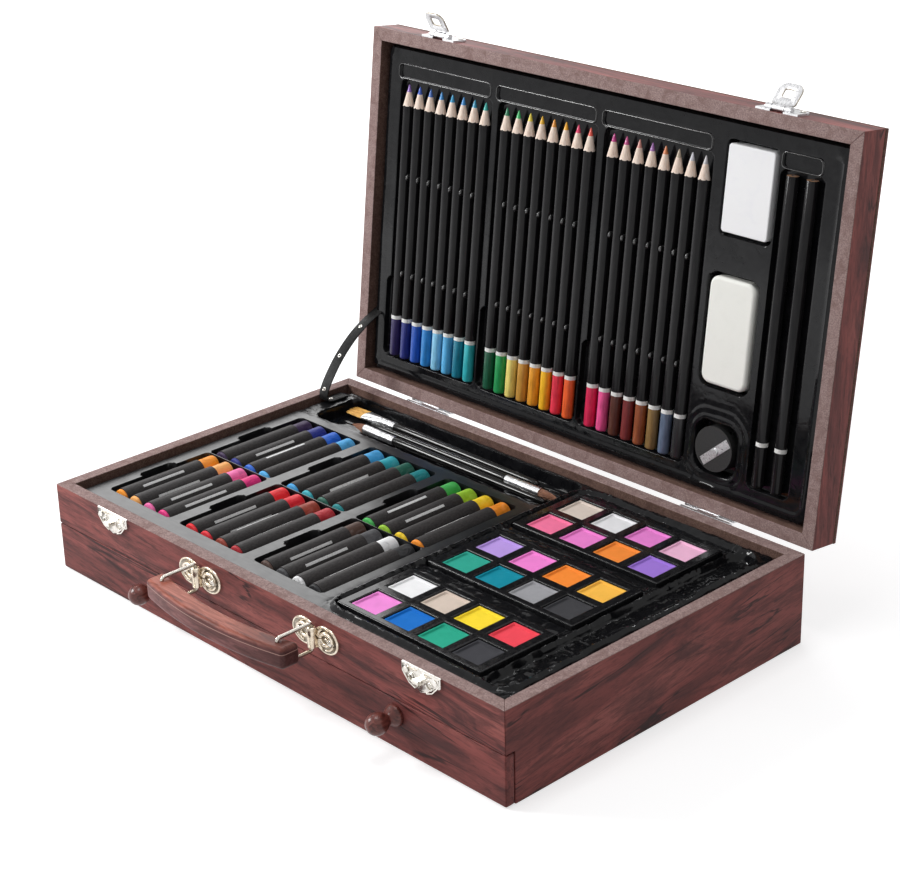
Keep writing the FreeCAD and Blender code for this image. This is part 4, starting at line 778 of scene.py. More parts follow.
MOAT_RING = Pocket(-400, 173, -400, 400, 0, 12, 0)


def base_depth(x, y):
    """How far below the flange the base tray lies at a point."""
    pocket = max(drop(x, y, pocket) for pocket in BASE_POCKETS)
    by_palettes = smooth((x - 32) / 8)
    by_brushes = smooth((y - 60) / 6) * (1 - by_palettes)
    at_front = smooth((-94 - y) / 5)
    loose = 0.05 + 0.95 * by_palettes * (1 - 0.8 * at_front) + 0.8 * by_brushes
    folds = loose * max(0.45 + crumpled(x, y), 0)
    moat = 5 * by_palettes * smooth(outside(x, y, MOAT_RING) / 4)
    rim = bead(x, y, PALETTE_RING, 3.4, 2.4)
    return pocket + folds + moat - rim


def left_glossy(x, y):
    """Whether the sheet shines at a point, as it does in the brush trough and round the palettes."""
    return x > PALETTE_RING.left or outside(x, y, BRUSH_TROUGH) < BRUSH_TROUGH.lip


FLANGE_SATIN = drawn_plastic("satin_flange_plastic", 0.5, 0.28, 0.36, 0.06 * MM)
TRAY_BLACK = drawn_plastic("drawn_black_plastic", 0.18, 0.06, 0.14, 0.06 * MM)
x_steps = ((27, 3), (TRAY_X, 1.1))
y_steps = ((60, 1.5), (TRAY_Y, 1.1))
sheet = drawn_sheet("base_tray_drawn", BASE_POCKETS, x_steps, y_steps, base_depth, TRAY_TOP, -1, left_glossy)
thickened(shown(sheet, [FLANGE_SATIN, TRAY_BLACK], "base", ["base_tray"]))

# Oil pastels
# Round sticks of waxy colour with worn ends, each in a glued sleeve of dark grey paper with a plain stripe.
# Four lie side by side in each pocket, rolled as they come, with the longer bare end to the back.
PASTEL_LENGTH = 70.0
STICK_RADIUS = 5.7
SLEEVE_RADIUS = 6.2
SLEEVE_SIDES = 48
PASTEL_Z = 46.3
PASTEL_PITCH = 13.7
STICK_COLOURS = {
    (0, 0): ((0.9, 0.3, 0.02), (0.92, 0.42, 0.12), (0.88, 0.16, 0.42), (0.78, 0.03, 0.22)),
    (1, 0): ((0.75, 0.02, 0.03), (0.7, 0.015, 0.03), (0.3, 0.05, 0.03), (0.42, 0.02, 0.03)),
    (2, 0): ((0.07, 0.035, 0.025), (0.06, 0.06, 0.065), (0.85, 0.85, 0.86), (0.012, 0.012, 0.014)),
    (0, 1): ((0.035, 0.015, 0.06), (0.02, 0.03, 0.22), (0.02, 0.13, 0.6), (0.09, 0.42, 0.8)),
    (1, 1): ((0.07, 0.38, 0.75), (0.03, 0.38, 0.46), (0.012, 0.1, 0.07), (0.01, 0.22, 0.24)),
    (2, 1): ((0.05, 0.4, 0.08), (0.3, 0.55, 0.03), (0.9, 0.62, 0.02), (0.9, 0.28, 0.02)),
}


def waxy(name, colour):
    """Soft wax with smears and a dull sheen."""
    finish = surface(name, colour, 0.55, Specular_IOR_Level=0.3)
    smear = mottle(finish, spot(finish, (1, 2, 1)), 260, 5, 1.0)
    crumb = mottle(finish, spot(finish), 1600, 3)
    deep = tuple(0.72 * part for part in colour)
    light = tuple(min(1.0, part + 0.06) for part in colour)
    feed(finish, "Base Color", ramp(finish, smear, [(0.3, deep), (0.5, colour), (0.75, light)]))
    relief(finish, sum_of(finish, smear, crumb), 0.12 * MM, 0.6)
    return finish


SLEEVE_PAPER = clouded(
    surface("dark_sleeve_paper", (0.036, 0.032, 0.032), 0.55, Specular_IOR_Level=0.2), (1, 2, 1), (1100, 5),
    [(0.3, (0.02, 0.018, 0.018)), (0.7, (0.04, 0.036, 0.036))], depth=0.04 * MM, strength=0.5,
)
SLEEVE_STRIPE = clouded(
    surface("pale_sleeve_stripe", (0.5, 0.5, 0.5), 0.6), EVEN, (1400, 4), [(0.3, 0.42), (0.5, 0.66)],
)
STICK_PROFILE = (
    (0, 4.9), (0.2, 5.35), (0.6, 5.6), (1.2, STICK_RADIUS), (68.6, STICK_RADIUS),
    (69.4, 5.5), (69.9, 5.0), (70, 4.4),
)
SLEEVE_PROFILE = (
    (1.6, STICK_RADIUS + 0.02), (1.6, SLEEVE_RADIUS), (14, SLEEVE_RADIUS), (44, SLEEVE_RADIUS),
    (58, SLEEVE_RADIUS), (58, STICK_RADIUS + 0.02),
)
STRIPE_BAND = 2
STRIPE_STEPS = 2
roll = random.Random(11)
sleeves = Shape()
for row, y in enumerate(PASTEL_ROWS):
    sticks = Shape()
    stick_finishes = []
    for column, x in enumerate(PASTEL_COLUMNS):
        for step, colour in enumerate(STICK_COLOURS[column, row]):
            middle = x + (step - 1.5) * PASTEL_PITCH
            home = Matrix.Translation(Vector((middle, y - PASTEL_LENGTH / 2, PASTEL_Z)) * MM)
            home = home @ Matrix.Rotation(-math.pi / 2, 4, "X")
            sticks.turned(STICK_PROFILE, home, 32, len(stick_finishes))
            stick_finishes.append(waxy(f"pastel_{row}_{column}_{step}", colour))
            stripe = roll.randrange(26, 46)
            striped = range(stripe, stripe + STRIPE_STEPS)
            sleeves.turned(
                SLEEVE_PROFILE, home, SLEEVE_SIDES,
                lambda band, side: 1 if band == STRIPE_BAND and side in striped else 0,
            )
    name = ("pastel_sticks_front", "pastel_sticks_back")[row]
    node_name = ("pastels_front_row", "pastels_back_row")[row]
    shown(sticks.mesh(name), stick_finishes, "base", [node_name])
mesh = sleeves.mesh("pastel_paper_sleeves")
shown(mesh, [SLEEVE_PAPER, SLEEVE_STRIPE], "base", ["pastel_sleeves"])

# Watercolour palettes
# Moulded black frames with eight wells each, and a pressed cake of colour in every well. The cakes are dry
# and chalky, pressed down inside a narrow border.
PALETTE_BLACK = surface("moulded_palette_black", (0.008, 0.008, 0.009), 0.14, Specular_IOR_Level=0.28)
scuffs = mottle(PALETTE_BLACK, spot(PALETTE_BLACK), 420, 6, 0.8)
feed(PALETTE_BLACK, "Base Color", ramp(PALETTE_BLACK, scuffs, [
    (0.3, (0.005, 0.005, 0.006)), (0.7, (0.014, 0.014, 0.015)),
]))
feed(PALETTE_BLACK, "Roughness", ramp(PALETTE_BLACK, scuffs, [(0.3, 0.08), (0.7, 0.22)]))
relief(PALETTE_BLACK, mottle(PALETTE_BLACK, spot(PALETTE_BLACK), 1200, 3), 0.04 * MM, 0.5)
PALETTE_EASE = 0.75 * MM
for place_name in ("front", "middle", "back"):
    eased(f"palette_{place_name}", PALETTE_EASE, PALETTE_BLACK, steps=3)
CAKE_COLOURS = {
    0: ((0.85, 0.27, 0.68), (0.01, 0.16, 0.56), (0.025, 0.38, 0.25), (0.05, 0.05, 0.057),
        (0.85, 0.85, 0.86), (0.66, 0.55, 0.47), (0.97, 0.72, 0.04), (0.86, 0.07, 0.1)),
    1: ((0.03, 0.36, 0.27), (0.006, 0.25, 0.34), (0.33, 0.33, 0.35), (0.05, 0.05, 0.055),
        (0.5, 0.33, 0.78), (0.9, 0.24, 0.66), (0.95, 0.27, 0.04), (0.97, 0.52, 0.08)),
    2: ((0.93, 0.2, 0.37), (0.88, 0.24, 0.65), (0.95, 0.28, 0.05), (0.37, 0.2, 0.71),
        (0.72, 0.62, 0.55), (0.84, 0.84, 0.86), (0.86, 0.25, 0.68), (0.95, 0.53, 0.74)),
}
PALETTE_MIDDLE = 95.5
CAKE_PITCH = (25.4, 25.6)
CAKE_SIZE = 19.6
CAKE_FLOOR = 49.6
CAKE_RISE = 2.15
CAKE_BORDER = (0.0, 0.4, 1.2, 1.8)


def chalky(name, colour):
    """Pressed dry paint, slightly cloudy."""
    finish = surface(name, colour, 0.7, Specular_IOR_Level=0.08)
    cloud_of = mottle(finish, spot(finish), 170, 5, 0.8)
    grit = mottle(finish, spot(finish), 2200, 3)
    deep = tuple(0.95 * part for part in colour)
    light = tuple(min(1.0, part * 1.02 + 0.006) for part in colour)
    feed(finish, "Base Color", ramp(finish, cloud_of, [(0.3, deep), (0.52, colour), (0.75, light)]))
    relief(finish, grit, 0.05 * MM, 0.6)
    return finish


def pressed_cake(shape, x, y, finish, seed):
    """A square cake with a narrow border round its pressed middle."""
    half = CAKE_SIZE / 2
    flat = half - CAKE_BORDER[-1]
    marks = [inset - half for inset in CAKE_BORDER]
    marks += [flat * (step / 4 - 1) for step in range(1, 8)]
    marks += [half - inset for inset in reversed(CAKE_BORDER)]
    count = len(marks)
    first = len(shape.corners)
    for v in marks:
        for u in marks:
            inset = half - max(abs(u), abs(v))
            dip = 0.85 * smooth((inset - CAKE_BORDER[2]) / 0.6) + 0.4 * (inset < 0.001)
            dip += 0.07 * noise.noise(Vector((u * 0.2, v * 0.2, seed)))
            shape.corners.append(Vector((x + u, y + v, CAKE_FLOOR + CAKE_RISE - dip)) * MM)
    for line in range(count - 1):
        for step in range(count - 1):
            a = first + line * count + step
            shape.faces.append((a, a + 1, a + count + 1, a + count))
            shape.finish.append(finish)
    border = [first + step for step in range(count)]
    border += [first + line * count + count - 1 for line in range(1, count)]
    border += [first + (count - 1) * count + step for step in range(count - 2, -1, -1)]
    border += [first + line * count for line in range(count - 2, 0, -1)]
    below = len(shape.corners)
    shape.corners.extend(Vector((shape.corners[b].x, shape.corners[b].y, CAKE_FLOOR * MM)) for b in border)
    for step in range(len(border)):
        after = (step + 1) % len(border)
        shape.faces.append((border[after], border[step], below + step, below + after))
        shape.finish.append(finish)
    shape.faces.append(tuple(range(below + len(border) - 1, below - 1, -1)))
    shape.finish.append(finish)


cakes = Shape()
cake_finishes = []
for row, y in enumerate(PALETTE_ROWS):
    for number, colour in enumerate(CAKE_COLOURS[row]):
        x = PALETTE_MIDDLE + (number % 4 - 1.5) * CAKE_PITCH[0]
        pressed_cake(cakes, x, y + (number // 4 - 0.5) * CAKE_PITCH[1], len(cake_finishes), row * 8 + number)
        cake_finishes.append(chalky(f"paint_{row}_{number}", colour))
shown(cakes.mesh("pressed_paint_cakes"), cake_finishes, "base", ["paint_cakes"])

# Brushes
# Black lacquered handles that swell behind the ferrule and taper to a round tail, crimped ferrules of plated
# tin, and bristles of many fine hairs: a flat brush, a fine round one, and a round one turned the other way.
LACQUER = clouded(
    surface("black_lacquer", (0.008, 0.008, 0.008), 0.12, Specular_IOR_Level=0.25), (5, 1, 1), (500, 4),
    [(0.3, 0.005), (0.7, (0.013, 0.012, 0.012))], depth=0.06 * MM, strength=0.4,
)
BRUSH_Z = 46.1
FLAT_HAIRS = 260
ROUND_HAIRS = 120
HAIR_SHARES = (0, 0.35, 0.7, 1.0)
HAIR_RADII = (0.22 * MM, 0.22 * MM, 0.18 * MM, 0.05 * MM)
FERRULE = 28.0
FERRULE_PROFILE = (
    (0, 2.85), (0.4, 3.0), (14, 3.0), (16, 3.0), (16.6, 2.8), (17.4, 2.8), (18, 3.0), (20, 3.0), (20.6, 2.8),
    (21.4, 2.8), (22, 3.0), (27.6, 3.0), (28, 2.85),
)


def hairs(name, root, tip):
    """Fine hair in two mingled shades."""
    finish = surface(name, root, 0.5, Specular_IOR_Level=0.3)
    return clouded(finish, (10, 1, 1), (2500, 3), [(0.3, root), (0.7, tip)], depth=0.1 * MM)


BRISTLE_FINISHES = [
    hairs("golden_bristle", (0.45, 0.2, 0.03), (0.85, 0.5, 0.1)),
    hairs("brown_bristle", (0.12, 0.04, 0.02), (0.32, 0.13, 0.06)),
]
handles = Shape()
ferrules = Shape()
bristles = Shape()
draw = random.Random(4)
for end, toward, y, hair, handle, flat, finish in (
    (-161.0, 1, 94.0, 14.0, 126.0, True, 0),
    (-143.0, 1, 78.6, 12.0, 130.0, False, 1),
    (31.0, -1, 86.3, 15.0, 122.0, False, 1),
):
    home = Matrix.Translation(Vector((end, y, BRUSH_Z)) * MM) @ Matrix.Rotation(toward * math.pi / 2, 4, "Y")
    start = hair + FERRULE
    taper = [
        (0, 2.7), (2, 2.9), (14, 3.0), (30, 2.85), (60, 2.45), (handle - 12, 1.95), (handle - 3, 1.85),
        (handle - 0.8, 1.5), (handle, 0.6),
    ]
    handles.turned([(start + along, radius) for along, radius in taper], home, 28)
    bands = []
    for along, radius in FERRULE_PROFILE:
        press = max(0.0, 1 - along / 13) if flat else 0.0
        wide, thin = radius * (1 + 0.85 * press), radius * (1 - 0.42 * press)
        bands.append([
            home @ (Vector((thin * math.cos(turn), wide * math.sin(turn), hair + along)) * MM)
            for turn in angles_round(32)
        ])
    ferrules.loft(bands)
    for _ in range(FLAT_HAIRS if flat else ROUND_HAIRS):
        angle = draw.uniform(0, 2 * math.pi)
        reach = math.sqrt(draw.random())
        wide, thin = (5.2, 1.5) if flat else (2.7, 2.7)
        root = Vector((thin * reach * math.cos(angle), wide * reach * math.sin(angle), 0))
        pull = 1.0 if flat else 0.16
        length = hair * (1 - (0.05 if flat else 0.35) * draw.random() * (0.4 + reach))
        path = []
        for share in HAIR_SHARES:
            spread = 1 + (pull - 1) * share ** 1.6 + (0.0 if flat else 0.12) * math.sin(math.pi * share)
            path.append(home @ ((root * spread + Vector((0, 0, hair + 1 - (length + 1) * share))) * MM))
        bristles.swept(path, HAIR_RADII, 4, finish)
shown(handles.mesh("turned_handles"), [LACQUER], "base", ["brush_handles"])
shown(ferrules.mesh("crimped_ferrules"), [STEEL], "base", ["brush_ferrules"])
shown(bristles.mesh("brush_hairs"), BRISTLE_FINISHES, "base", ["brush_bristles"])

# Lid tray
# The same drawn black sheet, fixed in the lid: long pockets for three groups of pencils and the two graphite
# pencils, with a shallow edged panel above each and pegs between the pencils. The other tools have deeper
# pockets.
LID_FLANGE = 60.4
PENCIL_GROUPS = (-123.0, -37.0, 49.0)
PENCIL_DEPTH = 3.7
PENCIL_PITCH = 9.7
LID_POCKETS = [Pocket(x - 41, x + 38.4, -85, 94.2, PENCIL_DEPTH, 4, 0.9) for x in PENCIL_GROUPS]
LID_PANELS = [Pocket(x - 43.5, x + 37, -94.6, -86.4, 1.1, 2.5, 0.9) for x in PENCIL_GROUPS]
LID_PANELS.append(Pocket(134.7, 160.8, -94.6, -86.4, 1.1, 2.5, 0.9))
LID_POCKETS += LID_PANELS
LID_POCKETS += [Pocket(x - 44.5, x - 30, 42, 94.2, PENCIL_DEPTH, 5, 0.9) for x in PENCIL_GROUPS]
LID_POCKETS.append(Pocket(134.85, 162.75, -85, 94.2, PENCIL_DEPTH, 4, 0.9))
LID_POCKETS.append(Pocket(97.4, 131.8, -94.2, -42.8, 8, 3, 1.0))
LID_POCKETS.append(Pocket(93.8, 128.2, -20.2, 44.2, 8, 6, 1.0))
SHARPENER_POCKET = Pocket(95.6, 124.4, 65.2, 94, 9, 8, 1.2)
LID_POCKETS.append(SHARPENER_POCKET)
LID_RIM = Pocket(-174.5, 174.5, -102.2, 102.2, 0, 8, 0)
DRAPED_TO = 14


def lid_depth(x, y):
    """How far behind its flange the lid tray lies at a point."""
    pocket = max(drop(x, y, pocket) for pocket in LID_POCKETS)
    away = outside(x, y, SHARPENER_POCKET)
    draped = 0.0
    if 1 < away < DRAPED_TO:
        draped = 0.28 * math.sin(away * 1.5 + 2 * noise.noise(Vector((x * 0.08, y * 0.08, 5))))
    wave = 0.25 * noise.noise(Vector((x * 0.03, y * 0.03, 14)))
    return pocket + 0.12 + wave + draped * smooth((DRAPED_TO - away) / 8) - bead(x, y, LID_RIM, 1.8, 0.8)


LID_BLACK = drawn_plastic("drawn_lid_plastic", 0.18, 0.05, 0.1, 0.1 * MM)
x_steps = ((90, 3), (TRAY_X, 1.6))
y_steps = ((50, 3), (TRAY_Y, 1.6))
sheet = drawn_sheet("lid_tray_drawn", LID_POCKETS, x_steps, y_steps, lid_depth, LID_FLANGE, 1)
thickened(shown(sheet, [LID_BLACK], "lid", ["lid_tray"], OPEN_LID))
PEG_ROWS = (-25.0, 37.7)
PEG_PROFILE = ((64.0, 1.25), (60.5, 1.15), (58.2, 1.0), (57.5, 0.8), (57.1, 0.45), (57, 0.08))
EDGING_RADIUS = 0.34 * MM
pegs = Shape()
for middle in PENCIL_GROUPS:
    for gap in range(7):
        for y in PEG_ROWS:
            x = middle + (gap - 3) * PENCIL_PITCH
            pegs.loft([
                [
                    Vector((x + wide * math.cos(turn), y + 2.0 * wide * math.sin(turn), z)) * MM
                    for turn in angles_round(16)
                ]
                for z, wide in PEG_PROFILE
            ])
for panel in LID_PANELS:
    middle = Vector(((panel.left + panel.right) / 2, (panel.near + panel.far) / 2, LID_FLANGE - 0.25))
    half = (panel.right - panel.left) / 2 + 0.3
    tall = (panel.far - panel.near) / 2 + 0.3
    outline = [(middle + Vector((x, y, 0))) * MM for x, y in rounded(half, -tall, tall, 2.8, 2.8)]
    outline.append(outline[0])
    pegs.swept(outline, [EDGING_RADIUS] * len(outline), 8)
BEAD_BLACK = clouded(
    surface("polished_bead_plastic", (0.012, 0.012, 0.013), 0.24, Specular_IOR_Level=0.9), EVEN, (500, 3),
    [(0.3, 0.008), (0.7, 0.018)], gloss=[(0.3, 0.1), (0.7, 0.2)],
)
shown(pegs.mesh("lid_tray_pegs"), [BEAD_BLACK], "lid", [], OPEN_LID)

# Pencils
# Three groups of eight six-sided pencils in black lacquer, each with a tail dipped in its colour, a white
# ring at the dip, and a sharpened cone of cedar with a coloured lead. Two graphite pencils are unsharpened.
PENCIL_Z = 60.6
PENCIL_TAIL = 93.0
PENCIL_LENGTH = 176.0
PENCIL_RADIUS = 3.9
PENCIL_CORNER = 3.5
POINT_LENGTH = 16.0
DIP_END = 24.6
RING_END = 27.0
CONE_RADIUS = PENCIL_RADIUS + 0.15
PENCIL_STEPS = 24
GRAPHITE_PLACES = (142.3, 155.3)
PENCIL_COLOURS = {
    "cool": ((0.03, 0.02, 0.1), (0.02, 0.03, 0.2), (0.02, 0.1, 0.5), (0.03, 0.25, 0.65),
             (0.25, 0.6, 0.85), (0.1, 0.45, 0.8), (0.01, 0.2, 0.3), (0.03, 0.45, 0.5)),
    "bright": ((0.01, 0.1, 0.05), (0.02, 0.35, 0.1), (0.9, 0.75, 0.2), (0.6, 0.3, 0.05),
               (0.85, 0.35, 0.03), (0.95, 0.5, 0.02), (0.85, 0.04, 0.08), (0.9, 0.13, 0.03)),
    "warm": ((0.7, 0.02, 0.09), (0.9, 0.1, 0.32), (0.1, 0.03, 0.02), (0.2, 0.03, 0.03),
             (0.3, 0.08, 0.03), (0.25, 0.15, 0.05), (0.12, 0.16, 0.24), (0.02, 0.02, 0.022)),
}
LEAD_COLOURS = {
    "cool": ((0.3, 0.16, 0.5), (0.05, 0.12, 0.55), (0.06, 0.16, 0.5), (0.05, 0.27, 0.62),
             (0.05, 0.35, 0.62), (0.06, 0.3, 0.68), (0.05, 0.35, 0.55), (0.05, 0.45, 0.4)),
    "bright": ((0.03, 0.25, 0.12), (0.06, 0.5, 0.16), (0.85, 0.7, 0.08), (0.8, 0.45, 0.03),
               (0.85, 0.35, 0.06), (0.9, 0.42, 0.02), (0.8, 0.06, 0.16), (0.8, 0.1, 0.07)),
    "warm": ((0.55, 0.05, 0.25), (0.65, 0.1, 0.3), (0.7, 0.3, 0.26), (0.35, 0.15, 0.42),
             (0.72, 0.24, 0.1), (0.5, 0.4, 0.3), (0.6, 0.6, 0.65), (0.6, 0.58, 0.6)),
}
PENCIL_BLACK = clouded(
    surface("pencil_black_lacquer", (0.008, 0.008, 0.009), 0.14, Specular_IOR_Level=0.17), (1, 7, 1),
    (700, 4), [(0.3, (0.005, 0.005, 0.006)), (0.7, (0.013, 0.012, 0.013))], depth=0.04 * MM, strength=0.4,
)
RING_WHITE = clouded(
    surface("pencil_ring_white", (0.8, 0.8, 0.78), 0.45, Specular_IOR_Level=0.3), EVEN, (900, 3),
    [(0.3, (0.68, 0.68, 0.66)), (0.6, (0.83, 0.83, 0.81))],
)
CEDAR = clouded(
    surface("sharpened_cedar", (0.85, 0.72, 0.62), 0.65, Specular_IOR_Level=0.2), (1, 8, 1), (1500, 5),
    [(0.3, (0.72, 0.55, 0.44)), (0.5, (0.85, 0.7, 0.6)), (0.75, (0.9, 0.79, 0.71))],
    depth=0.05 * MM, strength=0.6,
)


def dipped(name, colour):
    """Glossy dip paint."""
    finish = surface(name, colour, 0.25, Specular_IOR_Level=0.4)
    deep = tuple(0.75 * part for part in colour)
    light = tuple(min(1.0, part * 1.1 + 0.01) for part in colour)
    shades = [(0.3, deep), (0.55, colour), (0.8, light)]
    return clouded(finish, (1, 5, 1), (600, 4), shades, depth=0.04 * MM, strength=0.4)


def six_sided(turn):
    """Radius of a pencil with softened corners, by the angle round it."""
    flat = math.cos(math.pi / 6) * PENCIL_RADIUS
    return min(flat / math.cos(turn % (math.pi / 3) - math.pi / 6), PENCIL_CORNER)


def pencil(shape, x, finish, sharpened, cedar, lead):
    """One pencil from its tail to its point."""
    turns = angles_round(PENCIL_STEPS)
    home = Matrix.Translation(Vector((x, PENCIL_TAIL, PENCIL_Z)) * MM) @ Matrix.Rotation(math.pi / 2, 4, "X")

    def corner(radius, turn, along):
        return home @ (Vector((radius * math.cos(turn), radius * math.sin(turn), along)) * MM)

    def ring(along, share):
        return [corner(six_sided(turn) * share, turn, along) for turn in turns]

    def cone(radius, along):
        return [corner(radius, turn, along) for turn in turns]

    neck = PENCIL_LENGTH - POINT_LENGTH
    slope = POINT_LENGTH / (CONE_RADIUS - 0.5)
    skin = [ring(0, 0.55), ring(0.35, 0.85), ring(1.0, 0.97), ring(1.8, 1.0), ring(DIP_END, 1.0)]
    skin += [ring(DIP_END, 1.012), ring(RING_END, 1.012), ring(RING_END, 1.0)]
    bands = [finish, finish, finish, finish, finish, 0, 0]
    if sharpened:
        edge = []
        for turn in turns:
            radius = six_sided(turn)
            edge.append(corner(radius, turn, neck + (CONE_RADIUS - radius) * slope))
        skin += [ring(neck - 3, 1.0), edge, cone(1.55, neck + (CONE_RADIUS - 1.55) * slope)]
        skin += [cone(1.5, neck + (CONE_RADIUS - 1.5) * slope), cone(0.62, PENCIL_LENGTH - 1.2)]
        skin += [cone(0.3, PENCIL_LENGTH - 0.4), cone(0.05, PENCIL_LENGTH)]
        bands += [1, 1, cedar, lead, lead, lead, lead]
    else:
        skin += [ring(PENCIL_LENGTH - 0.3, 1.0), ring(PENCIL_LENGTH, 0.96), cone(1.1, PENCIL_LENGTH)]
        skin += [cone(1.05, PENCIL_LENGTH - 0.1), cone(0.05, PENCIL_LENGTH - 0.1)]
        bands += [1, 1, cedar, lead, lead]
    shape.loft(skin, lambda band, step: bands[band])


for (family, colours), middle in zip(PENCIL_COLOURS.items(), PENCIL_GROUPS):
    group = Shape()
    finishes = [RING_WHITE, PENCIL_BLACK, CEDAR]
    for step, colour in enumerate(colours):
        finishes.append(dipped(f"pencil_{family}_{step}", colour))
        finishes.append(dipped(f"lead_{family}_{step}", LEAD_COLOURS[family][step]))
        pencil(group, middle + (step - 3.5) * PENCIL_PITCH, len(finishes) - 2, True, 2, len(finishes) - 1)
    mesh = group.mesh(f"pencils_{family}_dipped")
    shown(mesh, finishes, "lid", [f"pencils_{family}"], OPEN_LID)
GRAPHITE_LEAD = clouded(
    surface("graphite_lead", (0.06, 0.06, 0.065), 0.4, Metallic=0.3), EVEN, (2000, 3),
    [(0.3, 0.03), (0.7, 0.09)],
)
BROWN_WOOD = clouded(
    surface("cut_brown_wood", (0.3, 0.16, 0.09), 0.7), EVEN, (1600, 4),
    [(0.3, (0.16, 0.08, 0.045)), (0.7, (0.36, 0.2, 0.11))],
)
graphite = Shape()
for x in GRAPHITE_PLACES:
    pencil(graphite, x, 1, False, 3, 2)
finishes = [RING_WHITE, PENCIL_BLACK, GRAPHITE_LEAD, BROWN_WOOD]
mesh = graphite.mesh("graphite_pencils_plain")
shown(mesh, finishes, "lid", ["graphite_pencils"], OPEN_LID)

# Erasers
# A firm white vinyl block with crisp edges, and a softer off-white one with rounded corners and a dusty face.
# Both are pressed into pockets of the lid tray.
for name, width, white, grey in (
    ("eraser_firm", 0.8 * MM, (0.88, 0.88, 0.89), (0.86, 0.86, 0.88)),
    ("eraser_soft", 2.2 * MM, (0.87, 0.87, 0.82), (0.85, 0.85, 0.8)),
):
    rubber = surface(name + "_rubber", white, 0.55, Specular_IOR_Level=0.3)
    smudge = mottle(rubber, spot(rubber), 130, 5, 0.6)
    feed(rubber, "Base Color", ramp(rubber, smudge, [(0.28, grey), (0.5, white)]))
    relief(rubber, mottle(rubber, spot(rubber), 1100, 4), 0.1 * MM, 0.5)
    eased(name, width, rubber, steps=4)

# Sharpener
# A round body of moulded black plastic, pressed into its pocket. A steel blade is held across its face by
# one screw.
SHARPENER_BLACK = clouded(
    surface("sharpener_black", (0.016, 0.016, 0.018), 0.4, Specular_IOR_Level=0.4), EVEN, (1500, 3),
    [(0.3, 0.01), (0.7, 0.028)], depth=0.05 * MM, strength=0.6,
)
BODY_EASE = 0.7 * MM
BLADE_EASE = 0.12 * MM
eased("sharpener_body", BODY_EASE, SHARPENER_BLACK, steps=3)
eased("sharpener_blade", BLADE_EASE, STEEL)
eased("sharpener_screw", SMALL_EASE, STEEL)

# Lid strap
# A black coated ribbon at the left, fixed to the base and to the lid, which stops the lid. Four bright
# eyelets are set in it.
STRAP_X = -174.0
STRAP_WIDTH = 8.0
STRAP_THICK = 1.0
STRAP_ROUTE = (
    (-174, 99, 51.6), (-174, 92, 51.6), (-174, 83.6, 51.4), (-174, 80.9, 54.5), (-174, 82.5, 60),
    (-174, 86.5, 66.5), (-174.2, 93.5, 75.5), (-174.5, 101.5, 83.2), (-174.8, 110.5, 90.2), (-175, 118, 94.4),
    (-175.2, 124.8, 97.6), (-175.3, 130.6, 99.8), (-175.3, 135, 101.6), (-175.3, 139, 103.4),
)
EYELET_PLACES = ((88, 51.5), (83.5, 60), (97.3, 79), (115.5, 94.3))
EYELET_PROFILE = ((-0.2, 1.35), (0.12, 1.35), (0.35, 1.05), (0.36, 0.85), (0.15, 0.6), (-0.2, 0.6))
STRAP_BLACK = surface("coated_black_ribbon", (0.012, 0.012, 0.013), 0.42, Specular_IOR_Level=0.14)
coat = mottle(STRAP_BLACK, spot(STRAP_BLACK), 500, 4)
feed(STRAP_BLACK, "Base Color", ramp(STRAP_BLACK, coat, [(0.3, 0.007), (0.7, 0.02)]))
weave = node(
    STRAP_BLACK, "ShaderNodeTexWave", {"Vector": spot(STRAP_BLACK), "Scale": 900, "Distortion": 0.4},
    bands_direction="X",
)
relief(STRAP_BLACK, weave.outputs["Fac"], 0.06 * MM, 0.6)
route = bpy.data.curves.new("strap_route", "CURVE")
route.dimensions = "3D"
route.resolution_u = 8
line = route.splines.new("NURBS")
line.points.add(len(STRAP_ROUTE) - 1)
for point, place in zip(line.points, STRAP_ROUTE):
    point.co = (*(Vector(place) * MM), 1)
line.order_u = 4
line.use_endpoint_u = True
route_holder = bpy.data.objects.new("strap_route", route)
sampled = bpy.data.meshes.new_from_object(route_holder)
strap_line = [vertex.co.copy() for vertex in sampled.vertices]
bpy.data.objects.remove(route_holder)
bpy.data.curves.remove(route)
bpy.data.meshes.remove(sampled)
ribbon = Shape()
bands = []
half = STRAP_WIDTH / 2 * MM
thick = STRAP_THICK / 2 * MM
face = half - 0.3 * MM
section = (
    (-half, -0.5 * thick), (-face, -thick), (face, -thick), (half, -0.5 * thick),
    (half, 0.5 * thick), (face, thick), (-face, thick), (-half, 0.5 * thick),
)
last = len(strap_line) - 1
for number, point in enumerate(strap_line):
    ahead = (strap_line[min(number + 1, last)] - strap_line[max(number - 1, 0)]).normalized()
    up = Vector((1, 0, 0)).cross(ahead)
    bands.append([point + Vector((across, 0, 0)) + up * rise for across, rise in section])
ribbon.loft(bands)
for y, z in EYELET_PLACES:
    place = Vector((STRAP_X, y, z)) * MM
    number = min(range(1, last), key=lambda n: (strap_line[n] - place).length)
    ahead = (strap_line[number + 1] - strap_line[number - 1]).normalized()
    for side in (1, -1):
        up = Vector((1, 0, 0)).cross(ahead) * side
        facing = up.to_track_quat("Z", "Y").to_matrix().to_4x4()
        home = Matrix.Translation(strap_line[number] + up * thick) @ facing
        ribbon.turned(EYELET_PROFILE, home, 20, 1)
mesh = ribbon.mesh("lid_strap_ribbon")
strap = shown(mesh, [STRAP_BLACK, NICKEL], None, ["lid_strap", "strap_eyelets"])
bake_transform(strap)

